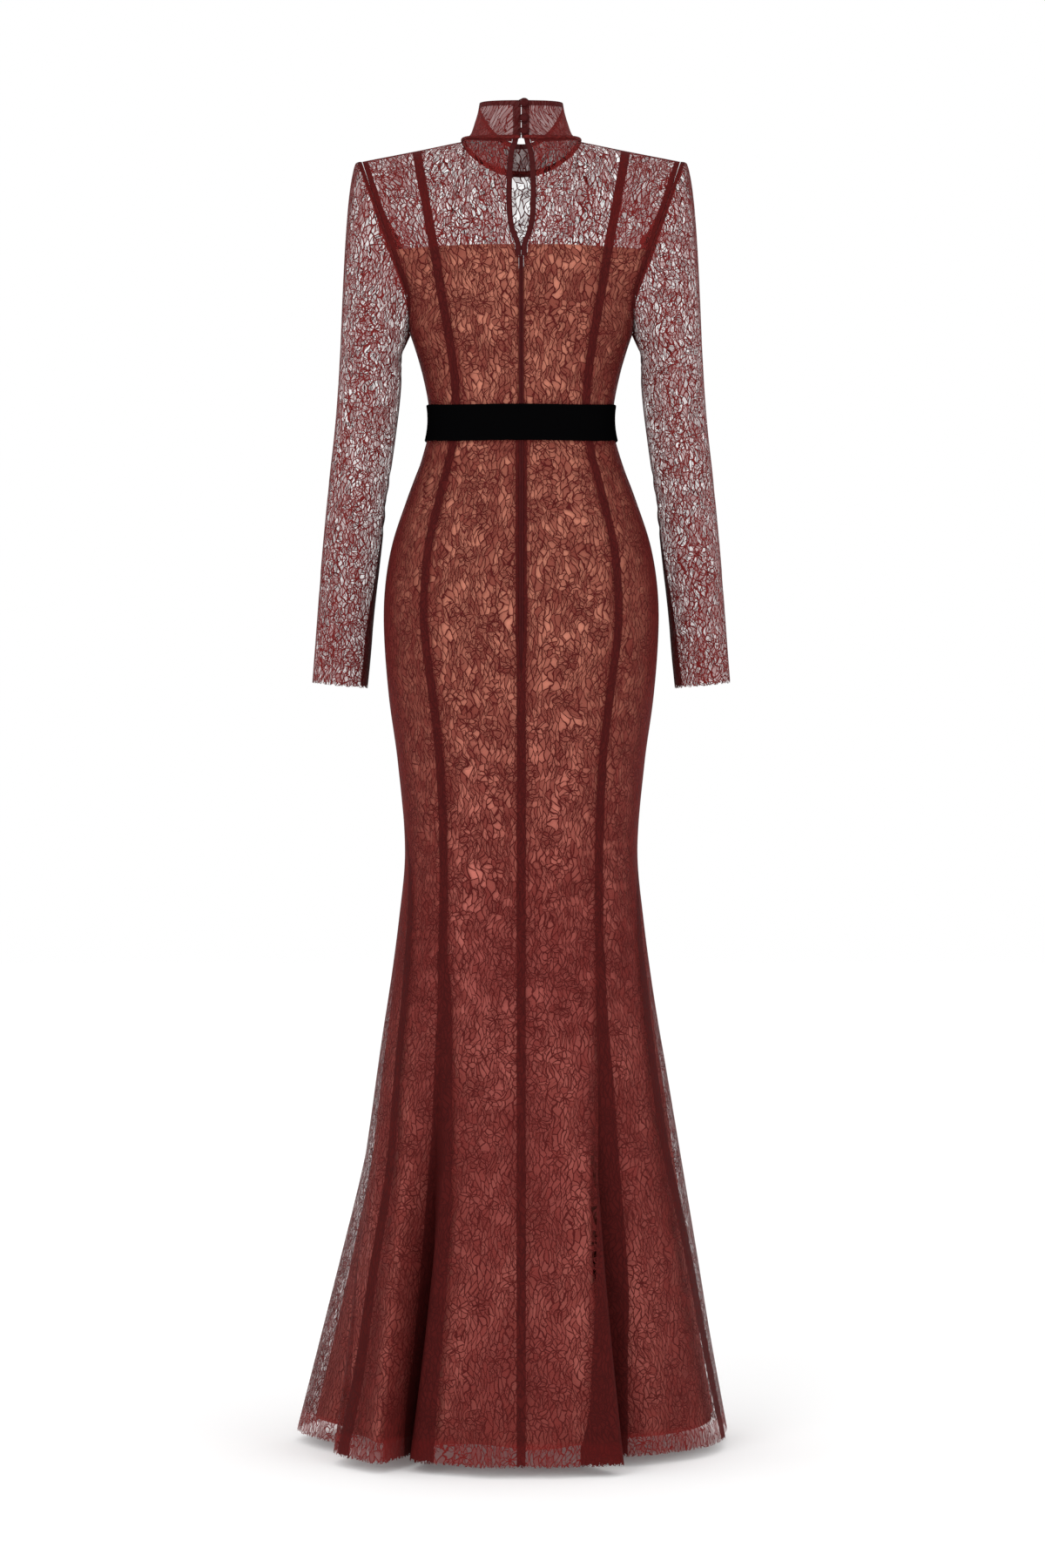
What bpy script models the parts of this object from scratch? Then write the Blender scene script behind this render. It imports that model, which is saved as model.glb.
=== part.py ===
"""Mermaid gown in corded lace over a strapless lining, worn shape, held up at the shoulders.

Units are metres and +Z is up. The tables below are in millimetres. The wearer faces -Y and the
wearer's left is +X. The origin lies between the shoulders, level with the side of the neck.
"""

import math
from collections import namedtuple

import bmesh
import bpy
from mathutils import Vector

# ---------------------------------------------------------------------------------- sizes, in mm
LACE = 1.2  # wall of the corded lace
LINING = 1.0  # wall of the lining
SEAM_GAP = 0.3  # between two pieces that are sewn together
ARMHOLE_GAP = 0.7
UNDERARM = -232.0  # height of the bottom of the armhole
YOKE_BOTTOM = -150.0  # below this height every row of points is level
HEM = -1530.0
ROUNDNESS = 0.9  # 1 is a true ellipse, less is squarer
MITRE_LIMIT = 0.45  # smallest cosine by which a wall is lengthened at a crease

NECK_HALF = 67.5
NECK_BACK = 62.0
NECK_FRONT = 66.0
NECK_SIDE_Z = -3.0
NECK_BACK_DROP = 6.5
NECK_FRONT_DROP = 28.0
NECK_DROP_POWER = 1.5
YOKE_RISE = 0.75  # how much of the yoke's rise, and of its reach, follows a circle
YOKE_REACH = 0.6
NECK_FILL = 44.0  # the yoke is fuller beside the neck, and this fades towards the shoulder
NECK_FILL_OUT = 0.75
NECK_FILL_IN = 0.3
PRINCESS_TOP = 124.0  # the princess seam meets the shoulder seam here
SHOULDER_TIP = 188.0
SHOULDER_SLOPE = -0.195

BINDING_WIDTH = 6.7
BINDING_WALL = 2.0
BINDING_PROUD = 0.7
ZIP_HALF = 2.6
ZIP_WALL = 1.4
ZIP_END = -590.0
ZIP_TAPER_END = -640.0
ZIP_END_HALF = 0.4
BELT_WALL = 1.8
BELT_TOP = -314.7
BELT_WIDTH = 42.5
BELT_DIP = 6.0  # the belt lies this much lower at centre back than at the sides
BELT_ROW = -340.0  # the level row of the gown that the belt crosses
BUTTON_RADIUS = 4.9
BUTTON_HALF_DEPTH = 2.6
BUTTON_SIDE = -3.4
LINING_OFFSET = 3.0  # from the face of the lace to the face of the lining, bodice to knee
LINING_OFFSET_HEM = 13.0
KNEE = -839.0

Section = namedtuple("Section", "z half back front princess")
SECTIONS = (
    Section(-150, 172.0, 92, 106, 99.5),
    Section(-190, 147.5, 92, 122, 93.5),
    Section(-232, 131.0, 89, 115, 86.0),
    Section(-272, 118.5, 86, 101, 80.0),
    Section(-312, 110.0, 82.5, 88, 76.5),
    Section(-340, 108.5, 81.5, 85, 77.0),
    Section(-376, 117.0, 89, 90, 82.5),
    Section(-427, 135.5, 103, 96, 94.5),
    Section(-479, 152.5, 116, 100, 106.5),
    Section(-530, 161.0, 122, 101, 112.0),
    Section(-582, 162.3, 123, 100, 112.5),
    Section(-659, 156.5, 117, 97, 103.0),
    Section(-736, 146.0, 108, 94, 94.5),
    Section(-839, 137.5, 101, 93, 90.8),
    Section(-917, 144.0, 107, 99, 90.6),
    Section(-1020, 158.0, 124, 117, 92.0),
    Section(-1123, 176.0, 146, 141, 96.0),
    Section(-1226, 196.0, 169, 165, 99.0),
    Section(-1329, 217.0, 191, 187, 101.0),
    Section(-1432, 237.5, 212, 207, 103.0),
    Section(-1530, 258.0, 231, 226, 105.0),
)

# How far round the side the armhole edge reaches, in degrees of the section, by height.
Armhole = namedtuple("Armhole", "z angle")
ARMHOLE = (
    Armhole(-150, 33.0),
    Armhole(-180, 28.5),
    Armhole(-210, 18.5),
    Armhole(-232, 0.0),
)

# The side seams of the skirt swing towards the back as it flares.
SIDE_SWING_LEFT = 19.0
SIDE_SWING_RIGHT = 3.0

# The folds at the hem, seen from above: the crest before the seam, the seam in the valley, and the
# crest after it, going round from centre back over the wearer's left side. Each starts at a height.
Fold = namedtuple("Fold", "seam start before_x before_y valley_x valley_y after_x after_y")
FOLDS = (
    Fold("princess_back_left", -985, 130, 184, 104, 106, 154, 203),
    Fold("side_left", -1040, 217, 131, 203, 78, 233, 50),
    Fold("princess_front_left", -1000, 158, -168, 106, -118, 124, -196),
    Fold("princess_front_right", -1000, -118, -200, -96, -124, -150, -176),
    Fold("side_right", -1080, -246, -32, -240, 8, -240, 34),
    Fold("princess_back_right", -975, -123, 159, -68, 130, -120, 209),
)
FOLD_GROWTH = 1.5

# The middle of each panel at the hem, seen from above.
Gore = namedtuple("Gore", "panel x y")
GORES = (
    Gore("centre_back_left", 62, 224),
    Gore("side_back_left", 188, 172),
    Gore("side_front_left", 262, -46),
    Gore("centre_front", 0, -229),
    Gore("side_front_right", -224, -112),
    Gore("side_back_right", -202, 104),
    Gore("centre_back_right", -58, 226),
)
HEM_CENTRE_BACK = 231.0

# Points across a panel. They crowd together beside a seam, where the folds are.
SIDE_CUTS = (0.0, 0.125, 0.25, 0.5, 0.75, 0.875, 1.0)
BACK_CUTS = (0.0, 0.125, 0.25, 0.375, 0.5, 0.75, 0.875, 1.0)
FRONT_HALF_CUTS = (0.0, 0.0625, 0.125, 0.25, 0.3125, 0.375, 0.4375)
FRONT_CUTS = FRONT_HALF_CUTS + (0.5,) + tuple(1 - cut for cut in reversed(FRONT_HALF_CUTS))
LINING_CUTS = (0.0, 0.25, 0.5, 0.75, 1.0)
LINING_FRONT_CUTS = (0.0, 0.125, 0.25, 0.5, 0.75, 0.875, 1.0)
CREST = 0.75  # share of a side panel at which its crest lies
OPENING_REACH = 0.5  # share of a centre back panel over which its centre edge is drawn aside

Panel = namedtuple("Panel", "name first last cuts face")
PANELS = (
    Panel("centre_back_left", "back", "princess_back_left", BACK_CUTS, 1),
    Panel("side_back_left", "princess_back_left", "side_left", SIDE_CUTS, 1),
    Panel("side_front_left", "side_left", "princess_front_left", SIDE_CUTS, -1),
    Panel("centre_front", "princess_front_left", "princess_front_right", FRONT_CUTS, -1),
    Panel("side_front_right", "princess_front_right", "side_right", SIDE_CUTS, -1),
    Panel("side_back_right", "side_right", "princess_back_right", SIDE_CUTS, 1),
    Panel(
        "centre_back_right",
        "princess_back_right",
        "back_again",
        tuple(1 - cut for cut in reversed(BACK_CUTS)),
        1,
    ),
)

# Rows of points from the top edge down: shares of the yoke's height, then level heights.
YOKE_ROWS = (1.0, 0.85, 0.7, 0.5, 0.3, 0.17, 0.07)
LINING_TOP_ROW = 6
LEVEL_ROWS = (
    -150, -180, -210, -232, -262, -290, -315, -340, -370, -400, -435, -470, -505, -545, -590,
    -640, -695, -755, -815, -875, -935, -1000, -1065, -1130, -1195, -1260, -1325, -1390, -1460,
    -1530,
)  # fmt: skip
LINING_HEM = -1513
LINING_LEAVES_OUT = (-1065, -1195, -1325, -1460, -1530)
LINING_LEVELS = tuple(z for z in LEVEL_ROWS if z not in LINING_LEAVES_OUT) + (LINING_HEM,)

# Half of the keyhole's width between its bindings, by height.
Keyhole = namedtuple("Keyhole", "z half")
KEYHOLE = (
    Keyhole(-9.5, 3.2),
    Keyhole(-17, 4.8),
    Keyhole(-27, 8.0),
    Keyhole(-47, 10.0),
    Keyhole(-77, 10.8),
    Keyhole(-103, 9.8),
    Keyhole(-118, 7.2),
    Keyhole(-136, 0.5),
)

CollarRow = namedtuple("CollarRow", "share half back front")
COLLAR_ROWS = (
    CollarRow(0.0, 67.5, 62.0, 66.0),
    CollarRow(0.1, 63.0, 59.5, 64.0),
    CollarRow(0.2, 59.5, 57.0, 62.5),
    CollarRow(0.45, 55.5, 54.0, 60.5),
    CollarRow(0.75, 51.5, 51.5, 59.0),
    CollarRow(1.0, 49.4, 50.0, 58.0),
)
COLLAR_TOP_SIDE = 42.0
COLLAR_TOP_BACK_DROP = 4.5
COLLAR_TOP_FRONT_DROP = 38.0
COLLAR_COLUMNS = 32
COLLAR_GAP = 0.4
NECK_STEPS = 4  # straight runs of the neckline from the side of the neck to its centre
COLLAR_OPENING = 0.3  # half of the slit at centre back

BUTTON_HEIGHTS = (34.0, 15.0, -1.5)
BUTTON_GAPS = (0.3, 0.3, 0.55)  # the lowest one stands off the flare of the collar's base

SleeveRing = namedtuple("SleeveRing", "z outer inner depth middle_y")
SLEEVE_RINGS = (
    SleeveRing(-247, 213.7, 139.6, 49, 0),
    SleeveRing(-300, 216.8, 142.8, 48, -1),
    SleeveRing(-350, 221.0, 148.8, 46, -3),
    SleeveRing(-400, 226.8, 155.8, 43.5, -6),
    SleeveRing(-450, 232.0, 162.0, 42, -10),
    SleeveRing(-505, 237.4, 168.4, 40, -16),
    SleeveRing(-555, 241.5, 174.4, 37.5, -22),
    SleeveRing(-605, 245.6, 178.8, 35, -28),
    SleeveRing(-645, 249.0, 183.0, 33, -33),
)
CAP_STEPS = (0.0, 0.02, 0.07, 0.16, 0.32, 0.52, 0.76)
CAP_RISE = 2.2  # height of the roped sleeve head
CAP_RISE_STEP = 0.02
CAP_ROUND = 0.3  # the power by which the cap's top rounds over, and 1 is the straight underarm
SLEEVE_TILT = 0.1  # the cuff falls this much per unit of width towards the body

MM = 0.001
HALF_TURN = 180.0
FULL_TURN = 360.0


# ------------------------------------------------------------------------------- small geometry
def eased(rows, value, place, key="z"):
    """A named column of a table at any place, on a smooth curve through its rows."""
    spots = [getattr(row, key) for row in rows]
    values = [getattr(row, value) for row in rows]
    if spots[0] > spots[-1]:
        spots = [-spot for spot in spots]
        place = -place
    if place <= spots[0]:
        return values[0]
    if place >= spots[-1]:
        return values[-1]
    index = max(i for i, spot in enumerate(spots) if spot <= place)
    index = min(index, len(spots) - 2)
    slopes = []
    for i in (index, index + 1):
        low = max(i - 1, 0)
        high = min(i + 1, len(spots) - 1)
        slopes.append((values[high] - values[low]) / (spots[high] - spots[low]))
    width = spots[index + 1] - spots[index]
    t = (place - spots[index]) / width
    start = (1 + 2 * t) * (1 - t) ** 2 * values[index] + t * (1 - t) ** 2 * slopes[0] * width
    end = t * t * (3 - 2 * t) * values[index + 1] + t * t * (t - 1) * slopes[1] * width
    return start + end


def signed_power(value, power):
    return math.copysign(abs(value) ** power, value)


def blend(first, second, share):
    return first + (second - first) * share


def smooth(share):
    share = min(1.0, max(0.0, share))
    return share * share * (3 - 2 * share)


# ------------------------------------------------------------------------------ form of the gown
def ring_point(angle, z):
    """A point of the plain section at height z. 90 degrees is centre back, 0 the left side."""
    along = math.cos(math.radians(angle))
    across = math.sin(math.radians(angle))
    depth = eased(SECTIONS, "back" if across > 0 else "front", z)
    return Vector(
        (
            eased(SECTIONS, "half", z) * signed_power(along, ROUNDNESS),
            depth * signed_power(across, ROUNDNESS),
            z,
        )
    )


def side_angle(edge, face, z):
    """Where a side edge lies: on the armhole above the underarm, on the side seam below it."""
    if z > UNDERARM:
        swing = eased(ARMHOLE, "angle", z) * face
    else:
        most = SIDE_SWING_LEFT if edge == "side_left" else SIDE_SWING_RIGHT
        swing = most * smooth((KNEE - z) / (KNEE - HEM))
    return swing if edge == "side_left" else -HALF_TURN - swing


def edge_angle(edge, face, z):
    share = eased(SECTIONS, "princess", z) / eased(SECTIONS, "half", z)
    princess = math.degrees(math.acos(share ** (1 / ROUNDNESS)))
    return {
        "back": 90.0,
        "princess_back_left": princess,
        "princess_front_left": -princess,
        "princess_front_right": -HALF_TURN + princess,
        "princess_back_right": -HALF_TURN - princess,
        "back_again": 90.0 - FULL_TURN,
    }.get(edge) or side_angle(edge, face, z)


def plain_point(panel, cut, z):
    first = edge_angle(panel.first, panel.face, z)
    last = edge_angle(panel.last, panel.face, z)
    return ring_point(blend(first, last, cut), z)


def fold_at(edge):
    return next((fold for fold in FOLDS if fold.seam == edge), None)


HemKnot = namedtuple("HemKnot", "cut x y")


def hem_knots(panel):
    """The panel's hem seen from above, from its first seam to its last."""
    crest = 1 - CREST
    if panel.name == "centre_front":
        crest = crest / 2
    gore = next(gore for gore in GORES if gore.panel == panel.name)
    first = fold_at(panel.first)
    last = fold_at(panel.last)
    knots = [HemKnot(0.5, gore.x, gore.y)]
    if first:
        knots.insert(0, HemKnot(crest, first.after_x, first.after_y))
        knots.insert(0, HemKnot(0.0, first.valley_x, first.valley_y))
    else:
        knots.insert(0, HemKnot(0.0, 0.0, HEM_CENTRE_BACK))
    if last:
        knots.append(HemKnot(1 - crest, last.before_x, last.before_y))
        knots.append(HemKnot(1.0, last.valley_x, last.valley_y))
    else:
        knots.append(HemKnot(1.0, 0.0, HEM_CENTRE_BACK))
    return knots


def hem_point(panel, cut):
    """The flanks of a fold run straight from its crest to the seam, and the rest is a curve."""
    knots = hem_knots(panel)
    for crest, valley in ((knots[1], knots[0]), (knots[-2], knots[-1])):
        share = (cut - crest.cut) / (valley.cut - crest.cut)
        if share > 0 and fold_at(panel.first if valley.cut == 0 else panel.last):
            return Vector((blend(crest.x, valley.x, share), blend(crest.y, valley.y, share), HEM))
    return Vector((eased(knots, "x", cut, "cut"), eased(knots, "y", cut, "cut"), HEM))


def fold_offset(panel, cut, z):
    """How far the folds move a point of the skirt."""
    first = fold_at(panel.first) or fold_at(panel.last)
    last = fold_at(panel.last) or fold_at(panel.first)
    start = blend(first.start, last.start, cut)
    if z >= start:
        return Vector((0, 0, 0))
    growth = ((start - z) / (start - HEM)) ** FOLD_GROWTH
    return (hem_point(panel, cut) - plain_point(panel, cut, HEM)) * growth


def shoulder_point(x, side):
    return Vector((x * side, 0, NECK_SIDE_Z + (x - NECK_HALF) * SHOULDER_SLOPE))


def neck_point(turn, side, face):
    """The neckline, from the side of the neck (turn 0) to its centre (turn 1)."""
    angle = math.radians(90 * turn)
    depth = NECK_BACK if face > 0 else NECK_FRONT
    drop = NECK_BACK_DROP if face > 0 else NECK_FRONT_DROP
    return Vector(
        (
            NECK_HALF * math.cos(angle) * side,
            depth * math.sin(angle) * face,
            NECK_SIDE_Z - drop * math.sin(angle) ** NECK_DROP_POWER,
        )
    )


def top_place(panel, cut):
    """Where a point of the top edge lies: its side, and its way out from the centre (0) over the
    side of the neck (0.5) and the princess seam (1) to the shoulder tip (2)."""
    side = 1 if panel.name.endswith("left") else -1
    if panel.name == "centre_front":
        return (1 if cut <= 0.5 else -1), abs(2 * cut - 1)
    way = cut if side * panel.face > 0 else 1 - cut
    if panel.name.startswith("side"):
        way = 1 + way
    return side, way


def top_point(panel, cut):
    side, way = top_place(panel, cut)
    if way < 0.5:
        return neck_point(1 - 2 * way, side, panel.face)
    if way <= 1:
        return shoulder_point(blend(NECK_HALF, PRINCESS_TOP, 2 * way - 1), side)
    return shoulder_point(blend(PRINCESS_TOP, SHOULDER_TIP, way - 1), side)


def yoke_point(panel, cut, share):
    """The yoke rises from its level bottom row and rounds over to the shoulder seam."""
    low = plain_point(panel, cut, YOKE_BOTTOM)
    high = top_point(panel, cut)
    turn = math.radians(90 * share)
    rise = blend(share, math.sin(turn), YOKE_RISE)
    reach = blend(share, 1 - math.cos(turn), YOKE_REACH)
    way = top_place(panel, cut)[1]
    neck = 1 - smooth(abs(way - 0.5) / (NECK_FILL_OUT if way > 0.5 else NECK_FILL_IN))
    fill = NECK_FILL * neck * math.sqrt(1 - share) * share * share * panel.face
    return Vector(
        (blend(low.x, high.x, rise), blend(low.y, high.y, reach) + fill, blend(low.z, high.z, rise))
    )


def zip_half(z):
    return blend(ZIP_HALF, ZIP_END_HALF, smooth((ZIP_END - z) / (ZIP_END - ZIP_TAPER_END)))


def centre_opening(z, in_yoke):
    """Half of the space that the centre back panels leave for the keyhole, or for the zip."""
    if in_yoke:
        return eased(KEYHOLE, "half", z) + BINDING_WIDTH + SEAM_GAP
    if z >= ZIP_TAPER_END:
        return zip_half(z) + SEAM_GAP
    return 0.0


def gown_point(panel, cut, row):
    """A point of the lace's face. A row is either a share of the yoke or a level height."""
    in_yoke = row > 0
    if in_yoke:
        point = yoke_point(panel, cut, row)
    else:
        point = plain_point(panel, cut, row) + fold_offset(panel, cut, row)
    if panel.name.startswith("centre_back"):
        side = 1 if panel.name.endswith("left") else -1
        from_centre = cut if side > 0 else 1 - cut
        opening = centre_opening(point.z, in_yoke)
        point.x += side * opening * max(0.0, 1 - from_centre / OPENING_REACH)
    return point


# ----------------------------------------------------------------------------- grids and normals
def gown_grids(rows, keep):
    """For each panel, its points in rows from the top down, and how far to move in for each
    millimetre of depth (the normal, lengthened at a crease so that the wall keeps its depth)."""
    cuts = [[cut for cut in panel.cuts if keep(panel, cut)] for panel in PANELS]
    points = [
        [[gown_point(panel, cut, row) for cut in line] for row in rows]
        for panel, line in zip(PANELS, cuts)
    ]
    outward = []
    for index, panel in enumerate(PANELS):
        lines = []
        for r, row in enumerate(rows):
            closed = row <= UNDERARM
            before = points[index - 1][r][-2] if closed or "side" not in panel.first else None
            after_panel = points[(index + 1) % len(PANELS)]
            after = after_panel[r][1] if closed or "side" not in panel.last else None
            line = [before] + points[index][r] + [after]
            up = points[index][max(r - 1, 0)]
            down = points[index][min(r + 1, len(rows) - 1)]
            lines.append([])
            for c, cut in enumerate(cuts[index]):
                here = line[c + 1]
                fall = down[c] - up[c]
                sides = []
                if line[c] is not None:
                    sides.append((here - line[c]).cross(fall).normalized())
                if line[c + 2] is not None:
                    sides.append((line[c + 2] - here).cross(fall).normalized())
                normal = sum(sides, Vector()).normalized()
                on_shoulder = row == YOKE_ROWS[0] and top_place(panel, cut)[1] >= 0.5
                if on_shoulder:
                    normal = Vector((normal.x, 0, normal.z)).normalized()
                else:
                    normal = normal / max(MITRE_LIMIT, normal.dot(sides[0]))
                lines[-1].append(normal)
        outward.append(lines)
    return points, outward


def sewn_wall(panel, rows, cuts, points, outward, face, wall):
    """Face and back of a panel between its seams, each edge drawn in by half of the seam gap."""
    front = []
    back = []
    for row, line, normals in zip(rows, points, outward):
        front.append([p - n * face(row) for p, n in zip(line, normals)])
        back.append([p - n * (face(row) + wall) for p, n in zip(line, normals)])
    half_gap = SEAM_GAP / 2
    for r in range(len(rows)):
        first = (front[r][1] - front[r][0]).normalized() * half_gap
        last = (front[r][-2] - front[r][-1]).normalized() * half_gap
        for side in (front, back):
            side[r][0] = side[r][0] + first
            side[r][-1] = side[r][-1] + last
    if rows[0] == YOKE_ROWS[0]:
        for c, cut in enumerate(cuts):
            if top_place(panel, cut)[1] >= 0.5:
                shift = Vector((0, half_gap * panel.face, 0))
                front[0][c] = front[0][c] + shift
                back[0][c] = back[0][c] + shift
    return front, back


# --------------------------------------------------------------------------------------- solids
def material(name, colour, roughness):
    made = bpy.data.materials.get(name)
    if made is None:
        made = bpy.data.materials.new(name)
        made.use_nodes = True
        shader = made.node_tree.nodes["Principled BSDF"]
        shader.inputs["Base Color"].default_value = (*colour, 1)
        shader.inputs["Roughness"].default_value = roughness
        shader.inputs["Metallic"].default_value = 0.0
    return made


def corded_lace():
    return material("oxblood_corded_lace", (0.105, 0.016, 0.016), 0.75)


def nude_lining():
    return material("nude_lining", (0.52, 0.22, 0.11), 0.6)


def black_velvet():
    return material("black_velvet", (0.004, 0.004, 0.005), 0.95)


def covered_satin():
    return material("oxblood_satin", (0.14, 0.02, 0.022), 0.5)


def finish(bm, name, surface):
    bmesh.ops.recalc_face_normals(bm, faces=bm.faces)
    mesh = bpy.data.meshes.new(name)
    bm.to_mesh(mesh)
    bm.free()
    mesh.shade_smooth()
    mesh.set_sharp_from_angle(angle=math.radians(40))
    mesh.materials.append(surface)
    made = bpy.data.objects.new(name, mesh)
    bpy.context.scene.collection.objects.link(made)
    return made


def wall_solid(name, front, back, surface, tube=False):
    """One closed body between a face grid and a back grid. A tube joins its last column to its
    first."""
    bm = bmesh.new()
    sides = [[[bm.verts.new(p * MM) for p in line] for line in side] for side in (front, back)]
    rows = len(front)
    columns = len(front[0])
    spans = [(c, (c + 1) % columns) for c in range(columns if tube else columns - 1)]
    for r in range(rows - 1):
        for a, b in spans:
            for side in sides:
                bm.faces.new((side[r][a], side[r][b], side[r + 1][b], side[r + 1][a]))
    for r in (0, rows - 1):
        for a, b in spans:
            bm.faces.new((sides[0][r][a], sides[0][r][b], sides[1][r][b], sides[1][r][a]))
    if not tube:
        for c in (0, columns - 1):
            for r in range(rows - 1):
                bm.faces.new(
                    (sides[0][r][c], sides[0][r + 1][c], sides[1][r + 1][c], sides[1][r][c])
                )
    bmesh.ops.triangulate(bm, faces=bm.faces, quad_method="SHORT_EDGE")
    return finish(bm, name, surface)


def lace_panels():
    rows = YOKE_ROWS + LEVEL_ROWS
    points, outward = gown_grids(rows, lambda panel, cut: True)
    for index, panel in enumerate(PANELS):
        front, back = sewn_wall(
            panel, rows, panel.cuts, points[index], outward[index], lambda row: 0.0, LACE
        )
        wall_solid(panel.name, front, back, corded_lace())
    return points, outward


def lining_depth(row):
    if row > 0:
        return LINING_OFFSET
    return blend(LINING_OFFSET, LINING_OFFSET_HEM, smooth((KNEE - row) / (KNEE - HEM)))


def in_lining(panel, cut):
    return cut in (LINING_FRONT_CUTS if panel.name == "centre_front" else LINING_CUTS)


def lining_panels():
    """Each lining piece runs over several lace panels: the backs from the zip to a side seam, the
    front from side to side. It shares their points, moved in."""
    rows = YOKE_ROWS[LINING_TOP_ROW:] + LINING_LEVELS
    points, outward = gown_grids(rows, in_lining)
    pieces = (("lining_back_left", (0, 1)), ("lining_front", (2, 3, 4)), ("lining_back_right", (5, 6)))
    for name, members in pieces:
        whole = []
        normals = []
        for r in range(len(rows)):
            whole.append(list(points[members[0]][r]))
            normals.append(list(outward[members[0]][r]))
            for member in members[1:]:
                whole[r] += points[member][r][1:]
                normals[r] += outward[member][r][1:]
        front, back = sewn_wall(None, rows, None, whole, normals, lining_depth, LINING)
        wall_solid(name, front, back, nude_lining())


def belt(points, outward):
    """The belt repeats the gown's own points where it lies, moved out."""
    rows = YOKE_ROWS + LEVEL_ROWS
    crossing = rows.index(BELT_ROW)

    def on_column(index, c, z):
        r = crossing if z <= BELT_ROW else crossing - 1
        while points[index][r][c].z < z:
            r -= 1
        upper, lower = points[index][r][c], points[index][r + 1][c]
        return upper.lerp(lower, (upper.z - z) / (upper.z - lower.z))

    front = [[], [], []]
    back = [[], [], []]
    for index, panel in enumerate(PANELS):
        for c in range(len(panel.cuts) - 1):
            normal = outward[index][crossing][c]
            normal = Vector((normal.x, normal.y, 0)).normalized()
            dip = BELT_DIP * smooth(points[index][crossing][c].y / eased(SECTIONS, "back", BELT_ROW))
            top = BELT_TOP - dip
            for r, z in enumerate((top, BELT_ROW, top - BELT_WIDTH)):
                spot = on_column(index, c, z)
                if panel.first == "back" and c == 0:
                    spot.x = 0
                back[r].append(spot + normal * (SEAM_GAP + BINDING_PROUD))
                front[r].append(spot + normal * (SEAM_GAP + BINDING_PROUD + BELT_WALL))
    wall_solid("belt", front, back, black_velvet(), tube=True)


def centre_strip(rows, inner, outer, side, proud, wall):
    """Face and back of a narrow strip on the centre back line, between two distances from it."""
    panel = PANELS[0]
    front = []
    back = []
    for r, row in enumerate(rows):
        here = yoke_point(panel, 0, row) if row > 0 else plain_point(panel, 0, row)
        low = rows[min(r + 1, len(rows) - 1)]
        high = rows[max(r - 1, 0)]
        ends = [
            yoke_point(panel, 0, end) if end > 0 else plain_point(panel, 0, end)
            for end in (high, low)
        ]
        fall = ends[1] - ends[0]
        normal = Vector((1, 0, 0)).cross(fall).normalized()
        spots = [Vector((side * x(here.z), here.y, here.z)) for x in (inner, outer)]
        front.append([spot + normal * proud for spot in spots])
        back.append([spot - normal * (wall - proud) for spot in spots])
    return front, back


def keyhole_bindings():
    rows = YOKE_ROWS + (YOKE_BOTTOM,)

    def inner(z):
        return eased(KEYHOLE, "half", z) if z > KEYHOLE[-1].z - 1 else SEAM_GAP / 2

    def outer(z):
        if z > YOKE_BOTTOM + 1:
            return inner(z) + BINDING_WIDTH
        return zip_half(z)

    for name, side in (("keyhole_binding_left", 1), ("keyhole_binding_right", -1)):
        front, back = centre_strip(rows, inner, outer, side, BINDING_PROUD, BINDING_WALL)
        wall_solid(name, front, back, covered_satin())


def back_zip():
    rows = [row for row in LEVEL_ROWS if ZIP_TAPER_END <= row <= YOKE_BOTTOM]
    rows[0] = YOKE_BOTTOM - SEAM_GAP
    front, back = centre_strip(rows, lambda z: -zip_half(z), zip_half, 1, 0.0, ZIP_WALL)
    wall_solid("back_zip", front, back, covered_satin())


def neckline_at(angle):
    """A point of the neckline as the panels cut it, on the straight run between two of theirs."""
    across = math.sin(math.radians(angle))
    side = 1 if math.cos(math.radians(angle)) >= 0 else -1
    face = 1 if across > 0 else -1
    step = math.degrees(math.asin(min(1.0, abs(across)))) / 90 * NECK_STEPS
    low = min(int(step), NECK_STEPS - 1)
    ends = [neck_point((low + i) / NECK_STEPS, side, face) for i in (0, 1)]
    return ends[0].lerp(ends[1], step - low)


def collar_point(angle, row):
    """A point of the collar's face. Its base follows the neckline."""
    base = neckline_at(angle) + Vector((0, 0, COLLAR_GAP))
    if row.share == 0:
        return base
    along = math.cos(math.radians(angle))
    across = math.sin(math.radians(angle))
    depth = row.back if across > 0 else row.front
    drop = COLLAR_TOP_BACK_DROP if across > 0 else COLLAR_TOP_FRONT_DROP
    top = COLLAR_TOP_SIDE - drop * abs(across) ** NECK_DROP_POWER
    return Vector((row.half * along, depth * across, blend(base.z, top, row.share)))


def collar_grids():
    open_angle = math.degrees(COLLAR_OPENING / COLLAR_ROWS[-1].half)
    start = 90 - open_angle
    turn = FULL_TURN - 2 * open_angle
    angles = [start - turn * c / COLLAR_COLUMNS for c in range(COLLAR_COLUMNS + 1)]
    front = [[collar_point(angle, row) for angle in angles] for row in COLLAR_ROWS]
    back = []
    for r, line in enumerate(front):
        up = front[max(r - 1, 0)]
        down = front[min(r + 1, len(front) - 1)]
        back.append([])
        for c, spot in enumerate(line):
            across = line[min(c + 1, len(line) - 1)] - line[max(c - 1, 0)]
            normal = (up[c] - down[c]).cross(across).normalized()
            back[-1].append(spot + normal * LACE)
    return front, back


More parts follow.
